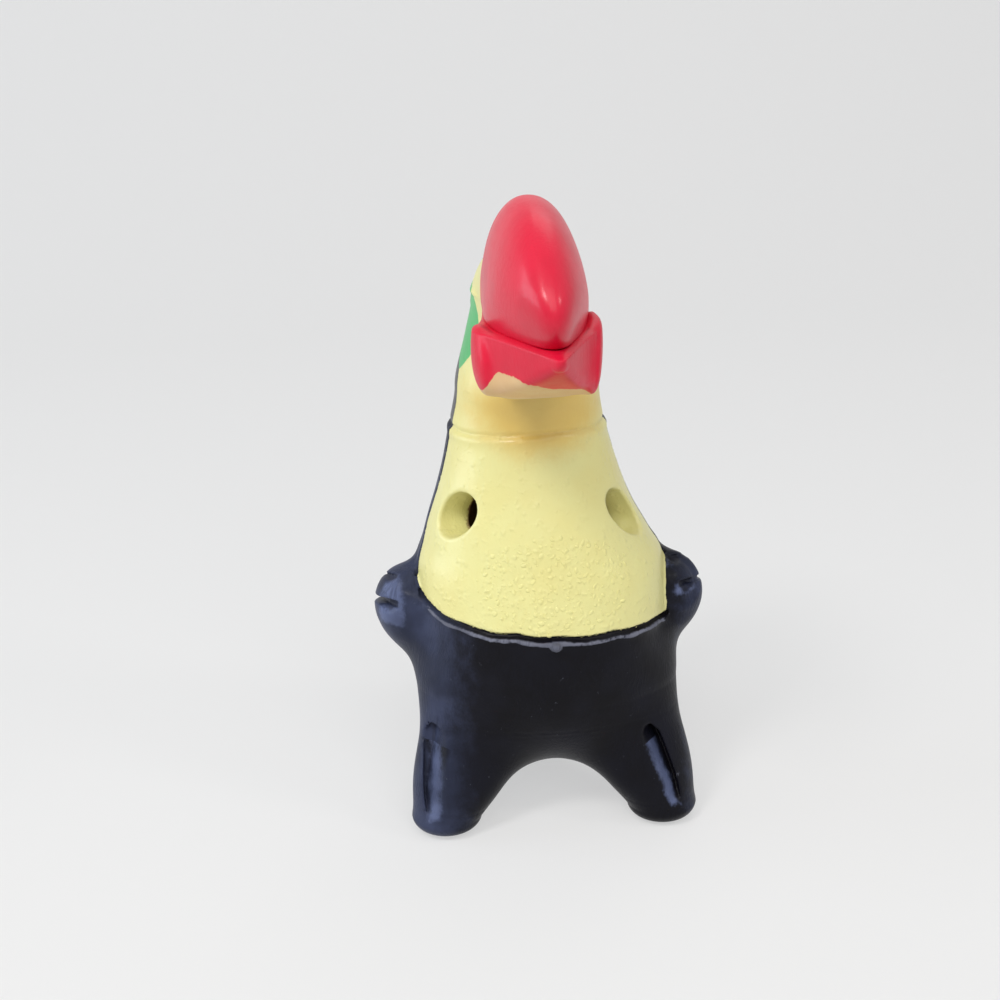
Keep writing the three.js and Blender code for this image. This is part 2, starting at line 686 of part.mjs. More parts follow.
function makeLeg(side, name) {
  const levels = [0, 0.06, 0.2, 0.45, 1].map((share) => share * SOLE_ROUND);
  for (let i = 1; i <= 6; i++) levels.push(mix(SOLE_ROUND, HIP_Z, i / 6));
  const rings = levels.map((z) => {
    const { x, y, half, deep } = legAt(side, z);
    return levelRing(LIMB_AROUND, z, half, deep, deep, x, y);
  });
  const sole = new THREE.Vector3(side * FOOT_X, FOOT_Y, 0);
  const form = solid(loft(rings, sole, new THREE.Vector3(side * HIP_X, HIP_Y, HIP_Z)));
  const [top, bottom] = [gougePoint(side, GOUGE_TOP_Z), gougePoint(side, GOUGE_BOTTOM_Z)];
  const run = top.clone().sub(bottom);
  const gouge = ellipsoid(GOUGE_WIDTH / 2, GOUGE_DEPTH, run.length() / 2, 16);
  const turn = new THREE.Quaternion().setFromUnitVectors(new THREE.Vector3(0, 0, 1), run.normalize());
  gouge.applyQuaternion(turn).translate(...top.add(bottom).multiplyScalar(0.5).toArray());
  return piece(name, form.subtract(bodySkin).subtract(solid(gouge)), clayBlack);
}

// Tail

function makeTail() {
  const rings = [];
  for (let i = 0; i <= LIMB_RINGS; i++) {
    const along = i / LIMB_RINGS;
    const y = mix(WINDOW_END_Y, TAIL_END_Y, along);
    const soleAlong = Math.min(1, (y - WINDOW_END_Y) / (TAIL_END_Y - TAIL_SOLE_LENGTH - WINDOW_END_Y));
    const bottom = mix(TAIL_ROOT_BOTTOM_Z, -TAIL_SOLE_CUT, smooth(soleAlong));
    const top = mix(TAIL_ROOT_TOP_Z, TAIL_END_HEIGHT, smooth(along) ** 0.7);
    const half = mix(TAIL_HALF_WIDTH, TAIL_END_HALF_WIDTH, along);
    const high = (top - bottom) / 2;
    rings.push(crossRing(LIMB_AROUND, y, half, (top + bottom) / 2, high, high, 3));
  }
  const start = new THREE.Vector3(0, WINDOW_END_Y, (TAIL_ROOT_TOP_Z + TAIL_ROOT_BOTTOM_Z) / 2);
  const end = new THREE.Vector3(0, TAIL_END_Y, TAIL_END_HEIGHT / 2);
  const ground = new THREE.BoxGeometry(2 * FAR, 2 * FAR, FAR).translate(0, 0, -FAR / 2);
  const tail = solid(loft(rings, start, end))
    .subtract(bodySkin)
    .subtract(solid(ground))
    .subtract(solid(windwayCutter()));
  return piece("tail", tail, clayBlack);
}

// The whole bird, with the origin on the ground under the middle of its length
const bird = new THREE.Group();
bird.add(...makeBody());
bird.add(...makeHead());
bird.add(makeWing(-1, "right_wing"), makeWing(1, "left_wing"));
bird.add(makeLeg(-1, "right_leg"), makeLeg(1, "left_leg"));
bird.add(makeTail());
const extent = new THREE.Box3().setFromObject(bird, true);
bird.position.set(-(extent.min.x + extent.max.x) / 2, -(extent.min.y + extent.max.y) / 2, 0);

export default bird;
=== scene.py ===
"""Looks of a hand-built clay whistle in the shape of a toucan.

Every lump of clay is a field: for points in millimetres it gives how far they lie outside the
clay. Lumps are pressed together, scored and pierced as fields, and the fused clay is then
divided into the model's own pieces, each meshed on a grid of its own and painted. The bird
looks along -Y, its own left is +X, and its axis stands at x = 0 at the level of its base.
"""

import logging
import math
from collections.abc import Callable
from dataclasses import dataclass, field
from enum import Enum
from functools import cached_property, partial
from itertools import product

import bpy
import numpy as np
from mathutils import Matrix, Vector


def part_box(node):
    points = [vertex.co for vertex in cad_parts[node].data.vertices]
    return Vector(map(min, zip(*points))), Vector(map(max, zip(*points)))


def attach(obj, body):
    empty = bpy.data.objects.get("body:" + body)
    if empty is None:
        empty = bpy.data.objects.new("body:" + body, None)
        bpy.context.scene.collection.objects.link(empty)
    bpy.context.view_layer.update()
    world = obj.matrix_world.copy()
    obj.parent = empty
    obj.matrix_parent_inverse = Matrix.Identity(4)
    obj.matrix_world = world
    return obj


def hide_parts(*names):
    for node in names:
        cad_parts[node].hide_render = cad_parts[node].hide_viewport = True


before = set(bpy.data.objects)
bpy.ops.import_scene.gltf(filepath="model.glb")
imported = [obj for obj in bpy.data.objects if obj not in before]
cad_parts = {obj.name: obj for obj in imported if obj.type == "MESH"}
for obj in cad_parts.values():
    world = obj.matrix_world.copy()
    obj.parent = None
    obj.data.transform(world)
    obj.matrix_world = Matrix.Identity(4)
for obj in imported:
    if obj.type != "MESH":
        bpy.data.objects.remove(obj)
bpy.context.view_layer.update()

log = logging.getLogger("toucan_whistle")

Array = np.ndarray
Field = Callable[[Array, Array, Array], Array]
Tree = bpy.types.NodeTree
Socket = bpy.types.NodeSocket
Object = bpy.types.Object
Material = bpy.types.Material
Plug = Socket | float | tuple
MM = 0.001
TINY = 1e-9


class Side(Enum):
    """The bird's own sides, as the sign of X."""

    LEFT = 1
    RIGHT = -1


# Clay as fields


class Profile:
    """A smooth line through (place, value) stations, level beyond its ends."""

    def __init__(self, *stations: tuple[float, float]) -> None:
        """Samples a Catmull-Rom line through the stations.

        Args:
            stations: pairs of place and value, in order of place.
        """
        points = np.array(stations, float)
        last = len(points) - 1
        if last == 0:
            self.place, self.value, self.steep = points[:, 0], points[:, 1], np.zeros(1)
            return
        share = np.linspace(0, last, 40 * last + 1)
        at = np.minimum(share.astype(int), last - 1)
        t = (share - at)[:, None]
        before, here, there, after = (points[np.clip(at + k, 0, last)] for k in (-1, 0, 1, 2))
        out, back = (there - before) / 2, (after - here) / 2
        bend = 3 * (there - here) - 2 * out - back
        twist = 2 * (here - there) + out + back
        line = here + t * (out + t * (bend + t * twist))
        self.place, self.value = line.T
        self.steep = np.gradient(self.value, self.place)

    def __call__(self, at: Array) -> Array:
        """Reads the line at some places."""
        return np.interp(at, self.place, self.value)

    def slope(self, at: Array) -> Array:
        """Reads the line's slope at some places, which is 0 beyond its ends."""
        return np.interp(at, self.place, self.steep, left=0, right=0)


@dataclass(frozen=True)
class Dome:
    """A rounded end: where it starts, how far it reaches, and how full it is."""

    start: float
    reach: float
    fullness: float = 2.0


@dataclass(frozen=True)
class Bulb:
    """A form strung along an axis, with its own reaches at each place and a dome at each end."""

    half: Profile
    above: Profile
    below: Profile
    low: Dome
    high: Dome
    middle: Profile = Profile((0, 0))
    level: Profile = Profile((0, 0))
    square: float = 2.0

    def __call__(self, a: Array, b: Array, t: Array) -> Array:
        """Gives the distance to the form's skin, to first order.

        Args:
            a: places across the axis.
            b: places up and down from the axis.
            t: places along the axis.

        Returns:
            Distances, negative inside.
        """
        inner = np.clip(t, self.low.start, self.high.start)
        loose = (t > self.low.start) & (t < self.high.start)
        a = a - self.middle(inner)
        b = b - self.level(inner)
        half = self.half(inner)
        up = b > 0
        side = np.where(up, self.above(inner), self.below(inner))
        u, v = np.abs(a) / half, np.abs(b) / side
        n = self.square
        rho = (u**n + v**n) ** (1 / n) + TINY
        short = np.maximum(self.low.start - t, 0) / self.low.reach
        long = np.maximum(t - self.high.start, 0) / self.high.reach
        w = short + long
        p = np.where(short > 0, self.low.fullness, self.high.fullness)
        whole = (rho**p + w**p) ** (1 / p)
        ru, rv = (u / rho) ** (n - 1), (v / rho) ** (n - 1)
        side_slope = np.where(up, self.above.slope(inner), self.below.slope(inner))
        lean_a = np.sign(a) * self.middle.slope(inner) + u * self.half.slope(inner)
        lean_b = np.sign(b) * self.level.slope(inner) + v * side_slope
        along = -(loose * (ru * lean_a / half + rv * lean_b / side))
        share = (rho / whole) ** (p - 1)
        sign = np.where(long > 0, 1 / self.high.reach, np.where(short > 0, -1 / self.low.reach, 0))
        ending = (w / whole) ** (p - 1) * sign
        steep = (share * ru / half) ** 2 + (share * rv / side) ** 2 + (share * along + ending) ** 2
        return (whole - 1) / np.sqrt(steep + TINY)


def join(a: Array, b: Array, soft: float) -> Array:
    """Presses two lumps together, with a fillet of about the size of soft."""
    near = np.maximum(soft - np.abs(a - b), 0)
    return np.minimum(a, b) - near * near / (4 * soft)


def keep(a: Array, b: Array, soft: float) -> Array:
    """Keeps what is inside both, with a rounded edge of about the size of soft."""
    return -join(-a, -b, soft)


def cut(a: Array, tool: Array, soft: float) -> Array:
    """Takes the tool's form out of the clay, with a rounded edge of about the size of soft."""
    return -join(-a, tool, soft)


def bump(distance: Array, width: float) -> Array:
    """A rounded ridge: 1 where the distance is 0, fading over the width."""
    return np.exp(-((distance / width) ** 2))


def step(value: Array, low: float, high: float) -> Array:
    """Rises smoothly from 0 to 1 as the value goes from low to high."""
    t = np.clip((value - low) / (high - low), 0, 1)
    return t * t * (3 - 2 * t)


def share_out(skin: Array, outside: Array, overlap: float = 0.7, bond: float = 0.3) -> Array:
    """A piece's own share of the fused clay.

    Args:
        skin: distances to the fused clay's skin.
        outside: how far points lie outside the piece's share.
        overlap: how far the piece goes on under its neighbour's skin.
        bond: how fast it sinks there in the end, per millimetre.

    Returns:
        Distances to the piece, whose skin is the fused clay's up to the seam.
    """
    past = np.maximum(outside, 0)
    return np.maximum(skin + bond * past * past / (past + 0.35), outside - overlap)


@dataclass(frozen=True)
class Body:
    """The hollow egg of the body with its neck and the core of the head, drawn out in one."""

    lean_degrees: float = 2.5
    base_z: float = 8.0
    belly_z: float = 31.0
    neck_z: float = 69.7
    brow_z: float = 88.7
    crown_rise: float = 11.5
    wall: float = 6.1
    roof_round: float = 8.0
    collar_depth: float = 0.42
    collar_width: float = 0.42
    unevenness: float = 0.11

    @cached_property
    def form(self) -> Bulb:
        """Strings the form along its stations."""
        half = Profile((11, 22.8), (31, 22.9), (43.5, 21.9), (49, 19.7), (54.4, 17.5), (58, 16.2),
                       (63.5, 14.55), (69.7, 13.1), (74, 12.35), (77.5, 12.0), (83, 10.2),
                       (88.7, 8.5))
        front = Profile((11, 22.2), (31, 22.2), (51, 18.2), (69.7, 12.7), (77.2, 13.0), (88.7, 11))
        back = Profile((11, 20), (31, 20), (51, 15.6), (69.7, 11.3), (77.2, 11.8), (88.7, 11))
        middle = Profile((28, 0.2), (43.5, 1.0), (49, 0.7), (54.4, 0.22), (63.5, 0.2), (69.7, 0.3),
                         (75, 0.65), (79, 0.8), (88.7, 0.6))
        low = Dome(self.belly_z, self.belly_z - self.base_z, 2.3)
        high = Dome(self.brow_z, self.crown_rise, 1.9)
        return Bulb(half, back, front, low, high, middle)

    def upright(self, x: Array, z: Array) -> Array:
        """Gives x as measured from the leaning axis."""
        return x + math.tan(math.radians(self.lean_degrees)) * (z - self.base_z)

    def waves(self, x: Array, y: Array, z: Array) -> Array:
        """The slow unevenness that fingers leave, as heights."""
        first = np.sin(x / 3.1 + np.sin(z / 5.3) + 0.6) * np.sin(z / 4.3 + np.sin(y / 4.1))
        second = np.sin(y / 2.7 + x / 6.1 + 1.9) * np.sin(z / 2.9 - x / 4.7)
        return self.unevenness * (0.65 * first + 0.35 * second)

    def lump(self, x: Array, y: Array, z: Array) -> Array:
        """The body, neck and head without anything pressed on to them."""
        a = self.upright(x, z)
        return self.form(a, y, z) + 0.1 + self.waves(a, y, z)

    def side_x(self, side: Side, y: float, z: float) -> float:
        """How far aside the body's skin lies at a depth and a level, from the leaning axis."""
        half, front, back, middle = (float(p(np.array([z]))[0]) for p in (
            self.form.half, self.form.below, self.form.above, self.form.middle))
        share = y / (front if y < 0 else back)
        return middle + side.value * half * math.sqrt(max(0, 1 - share**2))

    def collar(self, x: Array, y: Array, z: Array) -> Array:
        """How far a point lies above the crease where the neck meets the head."""
        a = self.upright(x, z)
        return z - self.neck_z - 0.35 * np.sin(a / 4.6 + 0.8) - 0.18 * np.sin(y / 2.3 + 0.4)

    def crease(self, x: Array, y: Array, z: Array) -> Array:
        """The crease's depth, with the shoulder of the neck standing proud below it."""
        rise = self.collar(x, y, z)
        groove = self.collar_depth * bump(rise, self.collar_width)
        return groove - 0.24 * bump(rise + 0.95, 0.8)

    def chamber(self, x: Array, y: Array, z: Array) -> Array:
        """The air chamber, with a domed roof under the neck."""
        inner = self.form(self.upright(x, z), y, z) + self.wall
        return keep(inner, z - (self.neck_z - self.wall), self.roof_round)


@dataclass(frozen=True)
class FingerHole:
    """One finger hole: a bar of oval section pushed in through the breast."""

    bearing: float
    level_z: float
    aim: float
    tilt: float
    short: float
    long: float
    spin: float
    body: Body = Body()

    def bar(self, x: Array, y: Array, z: Array) -> Array:
        """How far a point lies outside the bar."""
        bearing, aim, tilt, spin = (
            math.radians(v) for v in (self.bearing, self.aim, self.tilt, self.spin))
        spot = np.array([self.level_z])
        half, front, middle = (float(p(spot)[0]) for p in (
            self.body.form.half, self.body.form.below, self.body.form.middle))
        skin = 1 / math.hypot(math.sin(bearing) / half, math.cos(bearing) / front)
        flat = math.cos(tilt)
        out = np.array([math.sin(aim) * flat, -math.cos(aim) * flat, math.sin(tilt)])
        level = np.cross(out, (0, 0, 1)) / flat
        rise = np.cross(level, out)
        a = self.body.upright(x, z) - middle - skin * math.sin(bearing)
        b, c = y + skin * math.cos(bearing), z - self.level_z
        along, u, v = (a * d[0] + b * d[1] + c * d[2] for d in (out, level, rise))
        narrow = (u * math.cos(spin) + v * math.sin(spin)) / self.short
        wide = (v * math.cos(spin) - u * math.sin(spin)) / self.long
        flare = 0.84 + 0.16 * step(along, -5.5, -1) + 0.05 * step(along, -1.6, 0.6)
        radius = np.hypot(narrow, wide) + TINY
        steep = np.hypot(narrow / self.short, wide / self.long) / radius
        return np.maximum((radius - flare) / steep, -along - 2 * self.body.wall)


@dataclass(frozen=True)
class Bib:
    """The breast shell's outline, incised as a groove, with its two finger holes.

    The outline goes round a spot on the breast: for each bearing there, in degrees from
    straight down, it gives how far out the line runs, measured along the skin.
    """

    spot_z: float = 58.0
    girth: float = 21.5
    outline: Profile = Profile(
        (-180, 46), (-140, 39), (-112, 32.2), (-101, 31.5), (-90, 31.7), (-80, 32.6), (-67, 33.1),
        (-61.8, 33), (-59.5, 32.1), (-55.2, 30.35), (-52.1, 28.9), (-46.5, 26.8), (-39.4, 24.3),
        (-31.9, 22.6), (-26.6, 21.8), (-24.2, 21.3), (-16.3, 20), (-10.5, 19.96), (0, 19.87),
        (6.9, 20.05), (12.5, 20.6), (18, 21.4), (23.4, 22.2), (29, 23.2), (33.8, 24.9),
        (38.8, 26.9), (43.7, 29.6), (46.6, 31.5), (49.9, 34.5), (54, 36.3), (60, 36.6),
        (71.8, 34.6), (90, 33.2), (112, 33.6), (140, 39), (180, 46))
    groove_width: float = 0.75
    groove_depth: float = 0.8
    rim_height: float = 0.17
    holes: tuple[FingerHole, FingerHole] = (
        FingerHole(-54.7, 56.1, -55, 8, 3.43, 4.8, 52),
        FingerHole(60.2, 54.76, 58, 12, 3.3, 5.3, -42))
    hole_round: float = 0.5
    body: Body = Body()

    def outside(self, x: Array, y: Array, z: Array) -> Array:
        """How far a point lies outside the outline, along the skin."""
        a = self.body.upright(x, z)
        across = np.arctan2(a, -y) * self.girth
        down = self.spot_z - z
        turn = np.degrees(np.arctan2(across, down))
        line = self.outline(turn)
        bend = np.degrees(self.outline.slope(turn)) / line
        fine = 0.05 * np.sin(a / 1.1 + 0.7) * np.sin(a / 3.9)
        slow = 0.08 * np.sin(a / 2.7) * np.sin(z / 4.1)
        return (np.hypot(across, down) - line) / np.hypot(1, bend) + (fine + slow)

    def groove(self, x: Array, y: Array, z: Array) -> Array:
        """The depth of the incised groove, with the rim that the tool raised beyond it."""
        s = self.outside(x, y, z)
        low = 1 - step(z, 41.5, 47)
        deep = 0.3 + 0.7 * low * (0.75 + 0.25 * np.sin(x / 3.3 + 2.2))
        width = self.groove_width * (0.5 + 0.5 * low)
        trench = step(s, -0.05, 0.25) * (1 - step(s, width - 0.15, width + 0.2))
        rim = step(s, width, width + 0.4) * (1 - step(s, width + 0.5, width + 1.5))
        end = 1 - step(z, self.body.neck_z - 1.5, self.body.neck_z + 0.5)
        return end * (self.groove_depth * deep * trench - self.rim_height * (0.3 + 0.7 * low) * rim)

    def pierce(self, skin: Array, *at: Array) -> Array:
        """Pushes the finger holes through the clay."""
        for hole in self.holes:
            skin = cut(skin, hole.bar(*at), self.hole_round)
        return skin


@dataclass(frozen=True)
class Lobe:
    """A thumbed lump of clay, longer than it is wide."""

    centre: tuple[float, float, float]
    radii: tuple[float, float, float]
    tilt: tuple[float, float] = (0.0, 0.0)

    def __call__(self, a: Array, y: Array, z: Array) -> Array:
        """How far a point lies outside the lump. It leans by its tilt for each step up."""
        rise = z - self.centre[2]
        wide, deep, high = self.radii
        u = (a - self.centre[0] - self.tilt[0] * rise) / wide
        v = (y - self.centre[1] - self.tilt[1] * rise) / deep
        w = rise / high
        radius = np.sqrt(u * u + v * v + w * w) + TINY
        steep = np.sqrt((u / wide) ** 2 + (v / deep) ** 2 + (w / high) ** 2)
        return (radius - 1) * radius / (steep + TINY)


@dataclass(frozen=True)
class Bill:
    """The great bill: an upper half that sits in the scoop of the lower one."""

    mouth_z: float = 92.0
    rim_drop: float = 0.9
    point_reach: float = 27.6
    fillet: float = 2.2
    ridge: float = 0.22
    left_lobe: Lobe = Lobe((-7.9, -26.2, 86.4), (1.6, 4.6, 4.9), (-0.03, 0.0))
    right_lobe: Lobe = Lobe((8.1, -27.2, 87.4), (1.1, 5.6, 5.4), (0.13, 0.35))
    body: Body = Body()
    root_dome: Dome = Dome(3, 3)

    @cached_property
    def upper(self) -> Bulb:
        """The upper half, strung along its reach forward of the neck."""
        half = Profile((3, 6.4), (15.7, 7.5), (21, 7.9), (26.3, 8.6), (36.1, 9.8), (46.4, 10.2))
        ridge = [(t, 18 - 10 * ((21 - t) / 18) ** 1.7) for t in (3, 7, 11, 15, 18, 21)]
        above = Profile(*ridge, (24, 18), (30, 18))
        middle = Profile((0, 0), (18, 0.5), (28, 1.15), (46, 1.4))
        return Bulb(half, above, Profile((0, 2.4)), self.root_dome, Dome(21, 25.3, 1.9), middle,
                    square=2.1)

    @cached_property
    def lower(self) -> Bulb:
        """The lower half, strung along its reach forward of the neck."""
        half = Profile((3, 6.0), (14, 6.9), (20, 7.6), (24.5, 8.9), (28.5, 9.8), (44, 9.8))
        keel = Profile((3, 6.6), (12, 10.2), (16, 11.6), (20, 12), (27, 10.7), (34, 7.8), (40, 4.8),
                       (44, 2.3))
        middle = Profile((0, 0), (20, 0.0), (30, 0.1), (46, 1.3))
        return Bulb(half, Profile((0, 0.55)), keel, self.root_dome, Dome(44, 3.4, 1.6), middle,
                    square=3.6)

    def beak(self, a: Array, y: Array, inset: float) -> Array:
        """How far a point lies outside the pointed plan, drawn in by inset."""
        past = -y - self.point_reach
        left = 0.4848 * past - 0.8745 * (a + 9.1)
        right = 0.395 * past + 0.9186 * (a - 9.7)
        return keep(left, right, 1.6 + 3.4 * inset) + inset

    def top(self, x: Array, y: Array, z: Array) -> Array:
        """The upper half."""
        a = self.body.upright(x, z)
        lump = self.upper(a, z - self.mouth_z, -y) + 0.05 + 0.6 * self.body.waves(a, y, z)
        return keep(lump, self.beak(a, y, 0.9) - 0.5 * np.maximum(z - self.mouth_z, 0), 3.2)

    def scoop(self, x: Array, y: Array, z: Array) -> Array:
        """The lower half, hollowed where the upper one lies in it."""
        a = self.body.upright(x, z)
        skin = self.lower(a, z - self.mouth_z + self.rim_drop, -y) + 0.05
        skin = keep(skin, self.beak(a, y, 0.0), 1.6)
        skin = keep(skin, 0.97 * (a - 9.7 + 0.24 * (self.mouth_z - z)), 1.0)
        skin = join(skin, self.left_lobe(a, y, z), 1.6)
        skin = join(skin, self.right_lobe(a, y, z), 2.2)
        skin = skin + 0.6 * self.body.waves(a, y + 9, z)
        crevice = 0.35 * bump(np.hypot(a - 1.4, y + 42), 4.5) - 0.2
        return cut(skin, self.top(x, y, z) - crevice, 0.16)

    def root(self, x: Array, y: Array, z: Array) -> Array:
        """How far a point lies in front of the seam between the bill and the face."""
        return (-5.5 - 0.25 * (104 - z) - y) / math.hypot(1, 0.25)

    def press(self, clay: Array, half: Array, *at: Array) -> Array:
        """Presses a half on to the head's clay, which raises a low ridge along the root."""
        return join(clay, half, self.fillet) + self.ridge * bump(self.root(*at), 0.45)


@dataclass(frozen=True)
class Score:
    """One score between two feathers: a deep nick in front that runs out along the side."""

    rise: float
    depth: float
    middle: float
    reach: float
    slope: float
    gap: float


WING_SCORES = {
    Side.RIGHT: (Score(6.9, 0.9, 25.0, 1.6, 1.9, 0.3), Score(2.4, 2.5, 26.0, 2.2, 1.0, 1.2)),
    Side.LEFT: (Score(7.6, 0.8, 24.7, 1.5, 2.0, 0.25), Score(3.1, 1.7, 25.9, 1.8, 1.4, 0.9)),
}


@dataclass(frozen=True)
class Wing:
    """A leaf of clay on the body's side, scored into three feathers."""

    side: Side
    front_y: float = -8.0
    length: float = 25.0
    level_z: float = 37.3
    droop: float = 5.0
    half_height: float = 7.6
    proud: float = 6.4
    body: Body = Body()

    @cached_property
    def form(self) -> Bulb:
        """Strings the leaf along the body's side."""
        peak = self.front_y + 0.327 * self.length
        ys = np.linspace(self.front_y, self.front_y + self.length, 9)
        levels = [(y, self.level_z - self.droop * self.along(y) ** 1.5) for y in ys]
        roots = [(y, self.body.side_x(self.side, min(y, 16), z)) for y, z in levels]
        low = Dome(peak, peak - self.front_y, 2.15)
        high = Dome(peak, self.front_y + self.length - peak, 1.38)
        size = Profile((0, self.proud)), Profile((0, self.half_height))
        return Bulb(size[0], size[1], size[1], low, high, Profile(*roots), Profile(*levels))

    def within(self, y: Array) -> Array:
        """Places along the wing, held between its ends."""
        return np.clip(y, self.front_y, self.front_y + self.length)

    def along(self, y: Array) -> Array:
        """How far along the wing places are, from 0 to 1."""
        return (self.within(y) - self.front_y) / self.length

    def leaf(self, x: Array, y: Array, z: Array) -> Array:
        """The wing's own lump. The root follows the body's side all along."""
        a = self.body.upright(x, z)
        drift = self.form.middle(self.within(y)) - self.form.middle(np.clip(y, *self.span))
        leaf = self.form(a - drift, z + self.level_slip(y), y)
        return leaf + 0.05 + 0.7 * self.body.waves(a, y, z)

    @property
    def span(self) -> tuple[float, float]:
        """Where the form's own middle is read: its domes hold it at the peak."""
        return self.form.low.start, self.form.high.start

    def level_slip(self, y: Array) -> Array:
        """How far the wing's middle lies below its level at the peak."""
        return self.form.level(np.clip(y, *self.span)) - self.form.level(self.within(y))

    def score(self, skin: Array, x: Array, y: Array, z: Array) -> Array:
        """Cuts the scores: their upper wall is level and in shade, their lower one slopes out."""
        outward = self.side.value * self.body.upright(x, z)
        run, level = self.along(y), self.form.level(self.within(y))
        for score in WING_SCORES[self.side]:
            line = z - level - score.rise * (1 - 0.45 * run)
            past = (outward - score.middle) / score.reach
            open_ = np.maximum(np.clip(1 - past**2, 0, 1), 0.45 * step(past, 0, 1))
            inside = skin + score.depth * open_ * (1 - step(run, 0.25, 0.75))
            below = np.minimum(-line - score.gap, -line - score.slope * inside)
            wedge = np.maximum(line - 0.12 * inside, below)
            skin = cut(skin, np.maximum(wedge, 0.27 - inside), 0.25)
        return skin

    def lit_faces(self, x: Array, y: Array, z: Array) -> Array:
        """The lips of the scores, and the flat front of the right wing, painted pale blue-grey as
        painted highlight where they catch the light.
        """
        outward = self.side.value * self.body.upright(x, z)
        lit_faces = []
        for score in WING_SCORES[self.side]:
            line = z - self.level_z - score.rise
            lip = np.abs(line + score.gap + 0.7) - 0.7
            lit_faces.append(np.maximum(lip, np.abs(outward - score.middle) - score.reach))
        if self.side is Side.RIGHT:
            lit_faces.append(np.maximum(23.6 - outward, self.level_z - 2.4 - z))
        deep = -0.8 - self.leaf(x, y, z)
        return np.maximum.reduce([np.minimum.reduce(lit_faces), y - self.front_y - 4.8, 1.5 * deep])

    def outside(self, x: Array, y: Array, z: Array) -> Array:
        """How far a point lies outside the wing's outline, seen from the bird's side."""
        middle = self.form.level(self.within(y))
        ahead = (self.form.low.start - y) / (self.form.low.reach + 1.6)
        behind = (y - self.form.high.start) / (self.form.high.reach + 1.6)
        radius = np.hypot(np.maximum(ahead, behind), (z - middle) / (self.half_height + 1.6))
        flat = (radius - 1) * self.half_height
        return np.maximum(flat, 9 - self.side.value * self.body.upright(x, z))


# Where each gouge starts and ends, as places across and up.
GOUGES = {
    Side.RIGHT: ((-20.3, 19.8), (-21.5, 4.6)),
    Side.LEFT: ((15.8, 18.9), (20.4, 5.0)),
}


@dataclass(frozen=True)
class Leg:
    """A stout cone that spreads into the belly, flat below, with one gouge for the toes."""

    side: Side
    gouge_half: float = 1.7
    gouge_depth: Profile = Profile(
        (-0.12, -2.5), (0, 0.2), (0.07, 2.7), (0.2, 2.9), (0.34, 2.5), (0.7, 1.9), (0.93, 1.0),
        (1.02, -0.6), (1.2, -3))
    gouge_width: Profile = Profile((0, 0.35), (0.08, 0.75), (0.2, 1), (0.7, 1), (1, 0.6))
    hip_z: float = 29.0
    seam_shift: float = 1.2

    @cached_property
    def form(self) -> Bulb:
        """Strings the cone from the sole to the hip."""
        s = self.side.value
        half = Profile((0, 5.4), (3.5, 6.3), (12, 9.2), (29, 11))
        deep = Profile((0, 5.3), (3.5, 5.9), (12, 7.4), (29, 8))
        middle = Profile((0, s * 20.3), (12, s * 14.8), (29, s * 9))
        level = Profile((0, -15.6), (12, -12), (29, -6))
        ends = Dome(2.8, 3.4, 2.0), Dome(24, 6)
        return Bulb(half, deep, deep, *ends, middle, level)

    def cone(self, x: Array, y: Array, z: Array) -> Array:
        """The leg's own lump, standing flat on the ground."""
        lump = self.form(x, y, z) + 0.1 * np.sin(z / 3.3 + x / 4) * np.sin(y / 3 + 1)
        return keep(lump, -z, 1.2)

    def outside(self, x: Array, y: Array, z: Array) -> Array:
        """How far a point lies above the seam between leg and belly."""
        s = self.side.value
        normal = np.array([-0.347 * s, 0.295, 0.89])
        thigh = np.array([14.8 * s, -12, 12])
        return (x - thigh[0]) * normal[0] + (y - thigh[1]) * normal[1] + (
            z - thigh[2]) * normal[2] - self.seam_shift

    def stroke(self, x: Array, z: Array) -> tuple[Array, Array]:
        """How far down the gouge's line points are, and how far outwards from it."""
        (top_x, top_z), (end_x, end_z) = GOUGES[self.side]
        share = (top_z - z) / (top_z - end_z)
        return share, self.side.value * (x - top_x - (end_x - top_x) * share)

    def lit_faces(self, x: Array, y: Array, z: Array) -> Array:
        """The floor of the gouge, on its inner side, painted pale blue-grey as painted highlight
        where it catches the light.
        """
        (_, top_z), (_, end_z) = GOUGES[self.side]
        band = np.abs(self.stroke(x, z)[1] + 0.35) - 0.75
        run = np.abs(z - end_z - 0.4 * (top_z - end_z)) - 0.42 * (top_z - end_z)
        return np.maximum.reduce([band, run, y + 8])

    def gouge(self, skin: Array, x: Array, y: Array, z: Array) -> Array:
        """Cuts the gouge: steep on its outer side, its floor rising inwards, deepest on top."""
        inner = np.clip(z, 0, self.hip_z)
        share, outward = self.stroke(x, z)
        across = outward * 0.97
        wide = self.gouge_half * self.gouge_width(share)
        depth = self.gouge_depth(share)
        bottom = np.minimum(depth, depth * np.clip((across + wide) / (1.75 * wide), -1, 1))
        floor = -(skin + bottom) * 0.86
        wall = (across - wide) - 0.12 * skin
        front = y - self.form.level(inner) + 0.3 * self.form.below(inner)
        return cut(skin, np.maximum.reduce([floor, wall, front]), 0.3)


